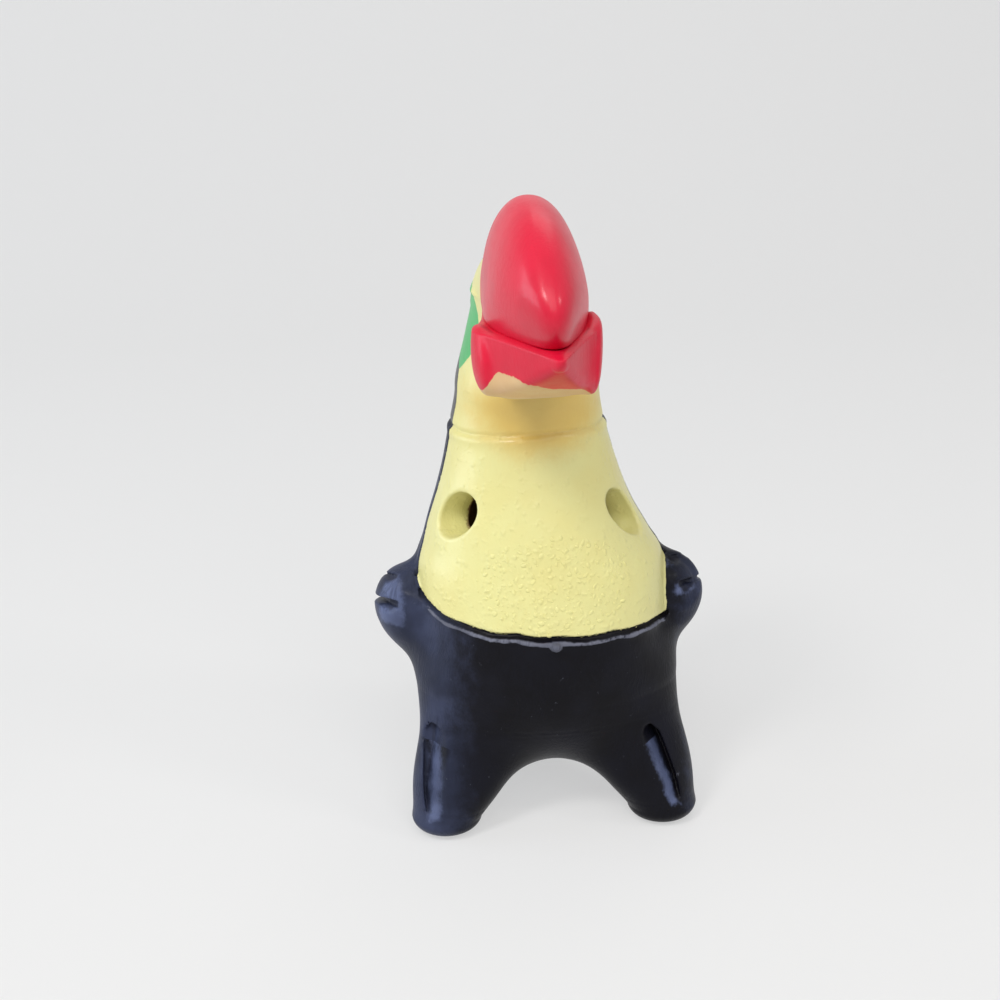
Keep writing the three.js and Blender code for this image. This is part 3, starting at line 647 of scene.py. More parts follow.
@dataclass(frozen=True)
class Tail:
    """The blunt tail that the bird stands on, and that the breath goes through."""

    start_y: float = 11.6
    end_y: float = 46.0
    end_round: float = 2.0
    half_root: float = 11.9
    half_end: float = 9.4
    mouth_width: float = 9.0
    mouth_height: float = 2.2
    blow_z: float = 5.0
    lip_y: float = 4.6
    lip_z: float = 10.1
    window_length: float = 7.0
    ramp_slope: float = 2.4 / 9
    seam_y: float = 19.0

    @cached_property
    def form(self) -> Bulb:
        """Strings the tail from under the belly to its blunt end."""
        ys = np.linspace(self.start_y, self.end_y, 9)
        run = (ys - self.start_y) / (self.end_y - self.start_y)
        ease = run * run * (3 - 2 * run)
        sole = np.minimum(1, (ys - self.start_y) / (self.end_y - 12 - self.start_y))
        bottom = 5.4 - 5.9 * sole * sole * (3 - 2 * sole)
        top = 23 + (9.4 - 23) * ease**0.7
        half = self.half_root + (self.half_end - self.half_root) * run
        high = Profile(*zip(ys, (top - bottom) / 2))
        ends = Dome(self.start_y, 8), Dome(self.end_y - self.end_round, self.end_round, 2.4)
        return Bulb(Profile(*zip(ys, half)), high, high, *ends,
                    level=Profile(*zip(ys, (top + bottom) / 2)), square=2.8)

    def block(self, x: Array, y: Array, z: Array) -> Array:
        """The tail's own lump, flat below."""
        lump = self.form(x, z, y) + 0.1 * np.sin(x / 2.6 + y / 5) * np.sin(y / 3.7 + 0.5)
        return keep(lump, -z, 0.9)

    def outside(self, x: Array, y: Array, z: Array) -> Array:
        """How far a point lies in front of the seam between tail and belly."""
        return self.seam_y - y

    def windway(self, x: Array, y: Array, z: Array) -> Array:
        """The flat breath channel from the blow hole to the window, aimed at the lip."""
        slope = (self.lip_z - self.blow_z) / (self.lip_y - self.end_y)
        rise = z - self.blow_z - slope * (y - self.end_y)
        slot = keep(np.abs(x) - self.mouth_width / 2, np.abs(rise) - self.mouth_height / 2, 0.5)
        return np.maximum(slot, self.lip_y + self.window_length - 0.5 - y)

    def window(self, x: Array, y: Array, z: Array) -> Array:
        """The window under the belly: a ramp up to the lip, and a slope away inside."""
        tilt = math.hypot(1, self.ramp_slope)
        ramp = (z - self.lip_z - self.ramp_slope * (y - self.lip_y)) / tilt
        undercut = ((self.lip_y - y) * 5.5 + (self.lip_z - z) * 4) / 6.8
        opening = np.minimum(np.maximum(ramp, self.lip_y - 9 - y), undercut)
        back = y - self.lip_y - self.window_length
        sides = np.abs(x) - self.mouth_width / 2
        return np.maximum.reduce([opening, back, sides, z - 25])


# Meshing


@dataclass(frozen=True)
class Grid:
    """An even grid round a piece, in millimetres, that a field is meshed on."""

    low: tuple[float, float, float]
    high: tuple[float, float, float]
    cell: float

    def mesh(self, clay: Field) -> tuple[Array, Array]:
        """Meshes the clay's skin with even four-sided faces.

        Args:
            clay: the field.

        Returns:
            The corner points, and for each face the numbers of its four points, which turn
            anticlockwise seen from outside.
        """
        cell = self.cell * 1
        axes = [np.arange(lo, hi + 4 * cell, cell) for lo, hi in zip(self.low, self.high)]
        axes = [a[: len(a) - len(a) % 3] for a in axes]
        coarse = clay(*np.meshgrid(*(a[1::3] for a in axes), indexing="ij"))
        values = coarse.repeat(3, 0).repeat(3, 1).repeat(3, 2)
        spots = np.nonzero(np.abs(values) < 5 * cell)
        values[spots] = clay(*(a[s] for a, s in zip(axes, spots)))
        points, faces = surface_net(values)
        points = np.array([a[0] for a in axes]) + points * cell
        return settle(points, faces, clay, cell), faces


def surface_net(values: Array) -> tuple[Array, Array]:
    """Puts a point in each cell that the surface crosses, and a face across each crossed edge.

    Args:
        values: the field at the grid's nodes, negative inside.

    Returns:
        Points in grid steps, and faces.
    """
    inside = values < 0
    nx, ny, nz = inside.shape
    count = np.zeros((nx - 1, ny - 1, nz - 1), np.int8)
    for i, j, k in product((0, 1), repeat=3):
        count += inside[i : nx - 1 + i, j : ny - 1 + j, k : nz - 1 + k]
    cells = np.argwhere((count > 0) & (count < 8))
    number = np.full(count.shape, -1)
    number[tuple(cells.T)] = np.arange(len(cells))
    total, hits = np.zeros((len(cells), 3)), np.zeros(len(cells))
    for axis, p, q in product(range(3), (0, 1), (0, 1)):
        start = np.zeros(3, int)
        start[(axis + 1) % 3], start[(axis + 2) % 3] = p, q
        end = start.copy()
        end[axis] = 1
        a, b = values[tuple((cells + start).T)], values[tuple((cells + end).T)]
        crossed = (a < 0) != (b < 0)
        share = a[crossed] / (a[crossed] - b[crossed])
        total[crossed] += start + share[:, None] * (end - start)
        hits[crossed] += 1
    points = cells + total / hits[:, None]
    faces = []
    for axis in range(3):
        first, second = (axis + 1) % 3, (axis + 2) % 3
        low = inside.take(range(inside.shape[axis] - 1), axis)
        changed = low != inside.take(range(1, inside.shape[axis]), axis)
        for across in (first, second):
            border = [slice(None)] * 3
            border[across] = [0, -1]
            changed[tuple(border)] = False
        edges = np.argwhere(changed)
        ring = []
        for p, q in ((0, 0), (1, 0), (1, 1), (0, 1)):
            at = edges.copy()
            at[:, first] -= p
            at[:, second] -= q
            ring.append(number[tuple(at.T)])
        ring = np.stack(ring, 1)
        turned = ~low[tuple(edges.T)]
        ring[turned] = ring[turned][:, ::-1]
        faces.append(ring)
    return points, np.concatenate(faces)


def slope_of(clay: Field, points: Array, here: Array, reach: float) -> Array:
    """The field's slope at some points, by small steps forward."""
    rows = []
    for axis in range(3):
        moved = points.copy()
        moved[:, axis] += reach
        rows.append((clay(*moved.T) - here) / reach)
    return np.stack(rows, 1)


def settle(points: Array, faces: Array, clay: Field, cell: float) -> Array:
    """Evens the points out among their neighbours and puts them back on the clay's skin.

    Args:
        points: corner points.
        faces: faces of four points.
        clay: the field.
        cell: the grid's cell size.

    Returns:
        The settled points.
    """
    start = np.concatenate([faces[:, k] for k in range(4)] * 2)
    end = np.concatenate([faces[:, (k + 1) % 4] for k in range(4)]
                         + [faces[:, (k - 1) % 4] for k in range(4)])
    links = np.maximum(np.bincount(start, minlength=len(points)), 1)
    for ease in (0.6, 0.6, 0.0):
        if ease:
            mean = np.stack([
                np.bincount(start, points[end, axis], len(points)) / links for axis in range(3)
            ], 1)
            points = points + ease * (mean - points)
        here = clay(*points.T)
        slope = slope_of(clay, points, here, 0.02)
        steep = np.maximum((slope**2).sum(1), 0.05)
        move = -here[:, None] * slope / steep[:, None]
        length = np.linalg.norm(move, axis=1, keepdims=True)
        points = points + move * np.minimum(1, 0.8 * cell / (length + TINY))
    return points


def curving(clay: Field, points: Array, reach: float) -> Array:
    """How the clay curves at some points: above 0 on ridges and below 0 in creases."""
    total = -6 * clay(*points.T)
    for axis, sign in product(range(3), (-1, 1)):
        moved = points.copy()
        moved[:, axis] += sign * reach
        total += clay(*moved.T)
    return np.clip(total / reach, -2, 2)


def link(name: str, data: bpy.types.ID) -> Object:
    """Makes an object of some data and links it to the scene."""
    made = bpy.data.objects.new(name, data)
    bpy.context.scene.collection.objects.link(made)
    return made


@dataclass(frozen=True)
class Workshop:
    """Makes finished mesh objects out of fields, in the frame's own place."""

    shift: tuple[float, float] = (0.0, 0.0)

    def shape(self, name: str, clay: Field, grid: Grid, masks: dict[str, Field]) -> Object:
        """Makes one piece.

        Args:
            name: the piece's name.
            clay: its field, in the bird's own millimetres.
            grid: the grid to mesh it on.
            masks: fields that are kept as attributes of the mesh's points.

        Returns:
            The object, whose place is in its mesh.
        """
        points, faces = grid.mesh(clay)
        mesh = bpy.data.meshes.new(name)
        mesh.vertices.add(len(points))
        mesh.loops.add(faces.size)
        mesh.polygons.add(len(faces))
        placed = (points + (*self.shift, 0)) * MM
        mesh.vertices.foreach_set("co", placed.astype(np.float32).ravel())
        mesh.loops.foreach_set("vertex_index", faces.astype(np.int32).ravel())
        mesh.polygons.foreach_set("loop_start", np.arange(0, faces.size, 4, dtype=np.int32))
        mesh.polygons.foreach_set("use_smooth", np.ones(len(faces), bool))
        mesh.update(calc_edges=True)
        values = {key: mask(*points.T) for key, mask in masks.items()}
        values["ridge"] = curving(clay, points, 0.6)
        for key, value in values.items():
            made = mesh.attributes.new(key, "FLOAT", "POINT")
            made.data.foreach_set("value", value.astype(np.float32))
        return link(name, mesh)


# Node building


class Graph:
    """A hand for building a node tree: adds nodes and joins their sockets."""

    def __init__(self, tree: Tree) -> None:
        """Takes the tree to build in."""
        self.tree = tree

    def add(self, kind: str, inputs: dict[str | int, Plug] | None = None,
            **settings: object) -> bpy.types.Node:
        """Adds a node.

        Args:
            kind: the node's type name.
            inputs: what to join to or set on its inputs, by name or number.
            settings: the node's own settings.

        Returns:
            The node.
        """
        node = self.tree.nodes.new(kind)
        for key, value in settings.items():
            setattr(node, key, value)
        for key, value in (inputs or {}).items():
            if isinstance(value, Socket):
                self.tree.links.new(value, node.inputs[key])
            else:
                node.inputs[key].default_value = value
        return node

    def math(self, operation: str, total: Plug, *plugs: Plug, clamp: bool = False) -> Socket:
        """Takes values together one after another and gives the last output."""
        for plug in plugs:
            node = self.add("ShaderNodeMath", {0: total, 1: plug}, operation=operation,
                            use_clamp=clamp)
            total = node.outputs[0]
        return total

    def blend(self, share: Plug, a: Plug, b: Plug) -> Socket:
        """Blends two colours and gives the result."""
        return self.add("ShaderNodeMix", {0: share, 6: a, 7: b}, data_type="RGBA").outputs[2]

    def mix(self, share: Plug, a: Plug, b: Plug) -> Socket:
        """Blends two numbers and gives the result."""
        return self.add("ShaderNodeMix", {0: share, 2: a, 3: b}, data_type="FLOAT").outputs[0]

    def spread(self, value: Plug, low: Plug, high: Plug, to_low: Plug = 0.0,
               to_high: Plug = 1.0) -> Socket:
        """Stretches a range of values on to another, smoothly and clamped."""
        node = self.add("ShaderNodeMapRange", {0: value, 1: low, 2: high, 3: to_low, 4: to_high},
                        interpolation_type="SMOOTHSTEP")
        return node.outputs[0]

    def noise(self, place: Plug, scale: Plug, detail: float = 2.0, rough: float = 0.5) -> Socket:
        """Adds a noise texture and gives its value."""
        node = self.add("ShaderNodeTexNoise", {"Vector": place, "Scale": scale, "Detail": detail,
                                               "Roughness": rough})
        return node.outputs["Fac"]

    def group(self, tree: Tree, inputs: dict[str, Plug]) -> bpy.types.Node:
        """Places a shared group with its own values."""
        return self.add("ShaderNodeGroup", inputs, node_tree=tree)


def shared_group(name: str, inputs: dict[str, float],
                 outputs: list[str]) -> tuple[Tree, Graph, dict[str, Socket]]:
    """Starts a shared node group.

    Args:
        name: the group's name.
        inputs: each value input's name with its starting value, after the place.
        outputs: the names of its value outputs.

    Returns:
        The group, a hand for building in it, and its input sockets by name.
    """
    tree = bpy.data.node_groups.new(name, "ShaderNodeTree")
    tree.interface.new_socket("Place", in_out="INPUT", socket_type="NodeSocketVector")
    for key, value in inputs.items():
        made = tree.interface.new_socket(key, in_out="INPUT", socket_type="NodeSocketFloat")
        made.default_value = value
    for key in outputs:
        tree.interface.new_socket(key, in_out="OUTPUT", socket_type="NodeSocketFloat")
    graph = Graph(tree)
    source = graph.add("NodeGroupInput")
    return tree, graph, {s.name: s for s in source.outputs if s.name}


class Effects:
    """The shared effects of hand painting, each a node group."""

    def __init__(self) -> None:
        """Builds every group once."""
        self.strokes = self.make_strokes()
        self.peel = self.make_peel()
        self.scuffs = self.make_scuffs()
        self.edge = self.make_edge()

    @staticmethod
    def make_strokes() -> Tree:
        """Brush strokes: fine ridges drawn out along one direction, in patches."""
        start = {"Fineness": 3.0}
        tree, graph, given = shared_group("brush_strokes", start, ["Height", "Tone"])
        bent = graph.add("ShaderNodeTexNoise", {"Vector": given["Place"], "Scale": 0.12,
                                                "Detail": 1.0})
        drift = graph.add("ShaderNodeVectorMath", {0: bent.outputs["Color"], 1: (5.0, 5.0, 5.0)},
                          operation="MULTIPLY")
        moved = graph.add("ShaderNodeVectorMath", {0: given["Place"], 1: drift.outputs[0]},
                          operation="ADD")
        drawn = graph.add("ShaderNodeMapping", {"Vector": moved.outputs[0], "Scale": (1, 1, 0.11)})
        hairs = graph.noise(drawn.outputs[0], given["Fineness"], 3.0, 0.6)
        patches = graph.noise(given["Place"], 0.16)
        height = graph.math("MULTIPLY", hairs, graph.spread(patches, 0.3, 0.7, 0.4))
        tone = graph.spread(graph.math("MULTIPLY", hairs, patches), 0.12, 0.42)
        graph.add("NodeGroupOutput", {"Height": height, "Tone": tone})
        return tree

    @staticmethod
    def make_peel() -> Tree:
        """Thick paint that dried over gritty clay: pimples and a slow waviness."""
        start = {"Pimples": 0.5, "Waves": 0.5}
        tree, graph, given = shared_group("orange_peel", start, ["Height", "Tone"])
        cells = graph.add("ShaderNodeTexVoronoi", {"Vector": given["Place"], "Scale": 1.15,
                                                   "Smoothness": 0.9, "Randomness": 1.0},
                          feature="SMOOTH_F1")
        dots = graph.spread(cells.outputs["Distance"], 0.1, 0.62, 1.0, 0.0)
        sparse = graph.spread(graph.noise(given["Place"], 0.55, 3.0), 0.42, 0.68)
        pimples = graph.math("MULTIPLY", dots, sparse, given["Pimples"])
        fine = graph.math("MULTIPLY", graph.noise(given["Place"], 2.4, 3.0, 0.55), 0.12)
        waves = graph.math("MULTIPLY", graph.noise(given["Place"], 0.3, 1.0), given["Waves"])
        height = graph.math("ADD", pimples, fine, waves)
        tone = graph.noise(given["Place"], 0.09, 3.0)
        graph.add("NodeGroupOutput", {"Height": height, "Tone": tone})
        return tree

    @staticmethod
    def make_scuffs() -> Tree:
        """Handling marks: small worn spots, more of them on ridges."""
        start = {"Ridge": 0.0, "Amount": 0.5}
        tree, graph, given = shared_group("scuffs", start, ["Mask"])
        blots = graph.noise(given["Place"], 0.9, 4.0, 0.65)
        raised = graph.math("MULTIPLY", given["Ridge"], 0.05)
        level = graph.math("ADD", blots, raised, graph.math("MULTIPLY", given["Amount"], 0.1))
        graph.add("NodeGroupOutput", {"Mask": graph.spread(level, 0.74, 0.95)})
        return tree

    @staticmethod
    def make_edge() -> Tree:
        """A painted edge: 1 inside a mask, with the raggedness that a brush leaves."""
        start = {"Outside": 0.0, "Raggedness": 0.3, "Softness": 0.08}
        tree, graph, given = shared_group("painted_edge", start, ["Mask"])
        slow = graph.math("SUBTRACT", graph.noise(given["Place"], 0.35, 2.0), 0.5)
        quick = graph.math("SUBTRACT", graph.noise(given["Place"], 2.2, 2.0), 0.5)
        stray = graph.math("ADD", graph.math("MULTIPLY", slow, 2.2),
                           graph.math("MULTIPLY", quick, 0.8))
        moved = graph.math("ADD", given["Outside"],
                           graph.math("MULTIPLY", stray, given["Raggedness"]))
        inner = graph.math("MULTIPLY", given["Softness"], -1.0)
        mask = graph.spread(moved, inner, given["Softness"], 1.0, 0.0)
        graph.add("NodeGroupOutput", {"Mask": mask})
        return tree


def srgb(red: int, green: int, blue: int) -> tuple[float, float, float, float]:
    """A colour given as it looks on a screen, 0 to 255, as shader values."""
    def linear(level: int) -> float:
        """One channel."""
        share = level / 255
        return share / 12.92 if share <= 0.04045 else ((share + 0.055) / 1.055) ** 2.4
    return linear(red), linear(green), linear(blue), 1.0


@dataclass(frozen=True)
class Paint:
    """One paint: its colour, the colour of its thin or shaded places, and its gloss."""

    colour: tuple[float, float, float, float]
    second: tuple[float, float, float, float]
    roughness: float
    stroke: float = 0.3
    variation: float = 0.3


YELLOW = Paint(srgb(232, 226, 154), srgb(226, 210, 124), 0.42, 0.16, 0.35)
# Painted shadow: a deeper, warmer yellow for the throat in the bill's shadow, with the red bill's
# reflection in it.
SHADOW_YELLOW = Paint(srgb(228, 196, 104), srgb(222, 182, 92), 0.42, 0.16, 0.35)
CREAM = Paint(srgb(222, 190, 138), srgb(212, 160, 112), 0.5, 0.3, 0.6)
BLACK = Paint(srgb(11, 10, 15), srgb(22, 23, 34), 0.36, 0.3, 0.6)
# Painted highlight: a lighter blue-grey that stands in for the sheen of the lit black flanks.
SHEEN_BLUE = Paint(srgb(62, 68, 92), srgb(34, 38, 54), 0.4, 0.6, 0.9)
# Painted highlight: a paler blue-grey for the lit lips of the wing scores and the lit gouge floors.
HIGHLIGHT_BLUE = Paint(srgb(104, 114, 148), srgb(60, 66, 90), 0.4, 0.7, 0.9)
RED = Paint(srgb(220, 14, 54), srgb(186, 8, 40), 0.4, 0.16, 0.4)
GREEN = Paint(srgb(88, 190, 110), srgb(64, 160, 92), 0.45, 0.4, 0.5)
# Pale grey: wear on ridges, and along the bib's rim and on the drip partly wear, partly painted
# highlight.
RIM = Paint(srgb(120, 122, 136), srgb(70, 72, 84), 0.45, 0.6, 0.8)
CLAY = Paint(srgb(150, 114, 76), srgb(104, 80, 58), 0.85, 0.6, 0.6)
# Painted shade: near-black laid into creases, more where they curve in deeper.
CREASE_SHADE = (0.01, 0.008, 0.008, 1)
PAINT_RELIEF = 0.0004
BEAD = Paint(srgb(12, 12, 14), srgb(24, 24, 28), 0.16, 0.0, 0.2)


@dataclass(frozen=True)
class Layer:
    """A paint laid where a mask is below 0, with an edge more or less ragged."""

    paint: Paint
    mask: str
    raggedness: float = 0.2
    softness: float = 0.07


@dataclass(frozen=True)
class Finish:
    """A painted finish: a ground paint with others laid over it in order."""

    name: str
    ground: Paint
    layers: tuple[Layer, ...] = ()
    coat: float = 0.25
    coat_roughness: float = 0.2
    peel: float = 0.3
    waves: float = 0.5
    scuffs: float = 0.5
    scuff_paint: Paint = RIM
    bump: float = 0.35
    shine: float = 0.5
    # How strongly creases are darkened as painted shade.
    crease_shading: float = 0.3

    def make(self, effects: Effects) -> Material:
        """Builds the material.

        Args:
            effects: the shared node groups.

        Returns:
            The material.
        """
        material = bpy.data.materials.new(self.name)
        material.use_nodes = True
        material.node_tree.nodes.clear()
        graph = Graph(material.node_tree)
        position = graph.add("ShaderNodeTexCoord").outputs["Object"]
        scaled = graph.add("ShaderNodeMapping", {"Vector": position, "Scale": (1 / MM,) * 3})
        place = scaled.outputs[0]
        ridge = graph.add("ShaderNodeAttribute", attribute_name="ridge").outputs["Fac"]
        strokes = graph.group(effects.strokes, {"Place": place, "Fineness": 2.6}).outputs
        peel = graph.group(effects.peel, {
            "Place": place, "Pimples": self.peel, "Waves": self.waves}).outputs
        masks = []
        for layer in self.layers:
            outside = graph.add("ShaderNodeAttribute", attribute_name=layer.mask).outputs["Fac"]
            edge = {"Place": place, "Outside": outside, "Raggedness": layer.raggedness,
                    "Softness": layer.softness}
            masks.append(graph.group(effects.edge, edge).outputs["Mask"])
        colour, rough, stroke = self.tones(graph, self.ground, strokes, peel)
        for layer, mask in zip(self.layers, masks):
            over, over_rough, over_stroke = self.tones(graph, layer.paint, strokes, peel)
            colour = graph.blend(mask, colour, over)
            rough = graph.mix(mask, rough, over_rough)
            stroke = graph.mix(mask, stroke, over_stroke)
        worn = graph.group(effects.scuffs, {"Place": place, "Ridge": ridge, "Amount": self.scuffs})
        worn = graph.math("MULTIPLY", worn.outputs["Mask"], min(1.0, self.scuffs))
        colour = graph.blend(worn, colour, self.scuff_paint.colour)
        rough = graph.mix(worn, rough, 0.6)
        # Painted shade: creases are darkened towards near-black by how deeply they curve in.
        creased = graph.spread(ridge, -1.1, -0.25, self.crease_shading, 0.0)
        dark = graph.blend(creased, colour, CREASE_SHADE)
        drawn = graph.math("MULTIPLY", strokes["Height"], stroke)
        height = graph.math("ADD", drawn, peel["Height"])
        normal = graph.add("ShaderNodeBump", {
            "Height": height, "Strength": self.bump, "Distance": PAINT_RELIEF})
        shader = graph.add("ShaderNodeBsdfPrincipled", {
            "Base Color": dark, "Roughness": rough, "Normal": normal.outputs[0],
            "Specular IOR Level": self.shine, "Coat Weight": self.coat,
            "Coat Roughness": self.coat_roughness})
        graph.add("ShaderNodeOutputMaterial", {"Surface": shader.outputs[0]})
        return material

    @staticmethod
    def tones(graph: Graph, paint: Paint, strokes: bpy.types.NodeOutputs,
              peel: bpy.types.NodeOutputs) -> tuple[Socket, Socket, Socket]:
        """One paint's colour, roughness and stroke height over the surface."""
        share = graph.math("MULTIPLY", graph.spread(peel["Tone"], 0.35, 0.7), paint.variation)
        streak = graph.math("MULTIPLY", strokes["Tone"], paint.stroke)
        total = graph.math("MAXIMUM", share, streak, clamp=True)
        colour = graph.blend(total, paint.colour, paint.second)
        rough = graph.mix(strokes["Tone"], paint.roughness, paint.roughness + 0.08)
        return colour, rough, graph.math("MULTIPLY", strokes["Tone"], paint.stroke)


# Painted shadow of the bill on the throat and the top of the breast.
SHADED_THROAT = Layer(SHADOW_YELLOW, "throat_shadow", 1.0, 3.0)
BARE = Layer(CLAY, "inside", 0.8, 0.3)
# Painted sheen on the black where the flanks catch the light.
SHEEN = Layer(SHEEN_BLUE, "side_sheen", 2.5, 3.5)


def blackened(name: str, *layers: Layer) -> Finish:
    """A finish in the dull black of belly, limbs and tail."""
    return Finish(name, BLACK, layers, coat=0.04, peel=0.1, scuffs=0.7, shine=0.11)


# Strewn grains


@dataclass(frozen=True)
class Grains:
    """Small flat grains under the paint, strewn over a piece where a mask is below 0."""

    mask: str
    density: float
    spacing: float
    size: float
    seed: int

    @staticmethod
    def make_tree() -> Tree:
        """Builds the node tree that strews grains over a mesh and keeps only them."""
        tree = bpy.data.node_groups.new("strewn_grains", "GeometryNodeTree")
        sockets = {"Clay": "Geometry", "Mask": "String", "Density": "Float", "Spacing": "Float",
                   "Size": "Float", "Seed": "Int", "Paint": "Material"}
        for name, kind in sockets.items():
            tree.interface.new_socket(name, in_out="INPUT", socket_type=f"NodeSocket{kind}")
        tree.interface.new_socket("Grains", in_out="OUTPUT", socket_type="NodeSocketGeometry")
        graph = Graph(tree)
        given = graph.add("NodeGroupInput").outputs
        mask = graph.add("GeometryNodeInputNamedAttribute", {"Name": given["Mask"]},
                         data_type="FLOAT")
        chosen = graph.add("FunctionNodeCompare", {0: mask.outputs[0], 1: 0.0},
                           operation="LESS_THAN")
        spots = graph.add("GeometryNodeDistributePointsOnFaces", {
            "Mesh": given["Clay"], "Selection": chosen.outputs[0], "Distance Min": given["Spacing"],
            "Density Max": given["Density"], "Seed": given["Seed"]}, distribute_method="POISSON")
        grain = graph.add("GeometryNodeMeshIcoSphere", {"Radius": given["Size"], "Subdivisions": 2})
        draws = [graph.add("FunctionNodeRandomValue", {2: low, 3: high, "Seed": seed}).outputs[1]
                 for low, high, seed in ((0.6, 1.3, given["Seed"]), (0.5, 1.0, 3),
                                         (0.14, 0.32, 5), (0.0, math.tau, 7))]
        size = graph.add("ShaderNodeCombineXYZ", dict(enumerate(draws[:3])))
        level = graph.add("ShaderNodeCombineXYZ", {2: draws[3]})
        spin = graph.add("FunctionNodeEulerToRotation", {0: level.outputs[0]})
        turned = graph.add("FunctionNodeRotateRotation", {
            0: spots.outputs["Rotation"], 1: spin.outputs[0]}, rotation_space="LOCAL")
        laid = graph.add("GeometryNodeInstanceOnPoints", {
            "Points": spots.outputs["Points"], "Instance": grain.outputs["Mesh"],
            "Rotation": turned.outputs[0], "Scale": size.outputs[0]})
        real = graph.add("GeometryNodeRealizeInstances", {0: laid.outputs[0]})
        smooth = graph.add("GeometryNodeSetShadeSmooth", {0: real.outputs[0]})
        painted = graph.add("GeometryNodeSetMaterial", {
            0: smooth.outputs[0], "Material": given["Paint"]})
        graph.add("NodeGroupOutput", {"Grains": painted.outputs[0]})
        return tree

    def strew(self, tree: Tree, piece: Object, name: str,
              paint: Material) -> Object:
        """Strews the grains over a piece.

        Args:
            tree: the node tree of make_tree.
            piece: the piece, which stays as it is.
            name: the new object's name.
            paint: the grains' material.

        Returns:
            The grains, baked to a plain mesh.
        """
        grains = link(name, piece.data.copy())
        modifier = grains.modifiers.new("grains", "NODES")
        modifier.node_group = tree
        values = {"Mask": self.mask, "Density": self.density, "Spacing": self.spacing,
                  "Size": self.size, "Seed": self.seed, "Paint": paint}
        for item in tree.interface.items_tree:
            if item.name in values:
                modifier[item.identifier] = values[item.name]
        ready = grains.evaluated_get(bpy.context.evaluated_depsgraph_get())
        baked = bpy.data.meshes.new_from_object(ready)
        grains.modifiers.clear()
        grains.data = baked
        return grains


# Sub-assemblies

# Where paint ends: the black cap's edge for each level, and the red jaw's for each place across.
CAP_EDGE = Profile((69.7, -2.5), (77, -2.3), (80, 0), (85, 7.4), (92, 6.4), (97, 0.5), (101, -3.5))
JAW_EDGE = Profile((-9, 82.4), (-8.5, 82.7), (-7.5, 84.6), (-6.3, 86.4), (-5, 86.5), (-3.9, 86.3),
                   (-1.5, 85.6), (0.3, 84.9), (4.8, 84.0), (6.6, 82.8), (7.5, 81.7), (9, 81.4))


@dataclass(frozen=True)
class Eye:
    """One eye: a pellet pressed on the side of the head."""

    side: Side
    level_z: float = 88.3
    back_y: float = 7.0
    radius: float = 2.2
    proud: float = 0.5
    body: Body = Body()

    def pellet(self, x: Array, y: Array, z: Array) -> Array:
        """The pellet's distances."""
        depth = float(self.body.form.above(np.array([self.level_z]))[0])
        turn = self.side.value * math.asin(self.back_y / depth)
        a = self.body.upright(x, z) - self.body.side_x(self.side, self.back_y, self.level_z)
        b, c = y - self.back_y, (z - self.level_z) / self.radius
        u = (a * math.cos(turn) + b * math.sin(turn)) / self.proud
        v = (-a * math.sin(turn) + b * math.cos(turn)) / self.radius
        return (np.sqrt(u * u + v * v + c**2 + TINY) - 1) * self.proud


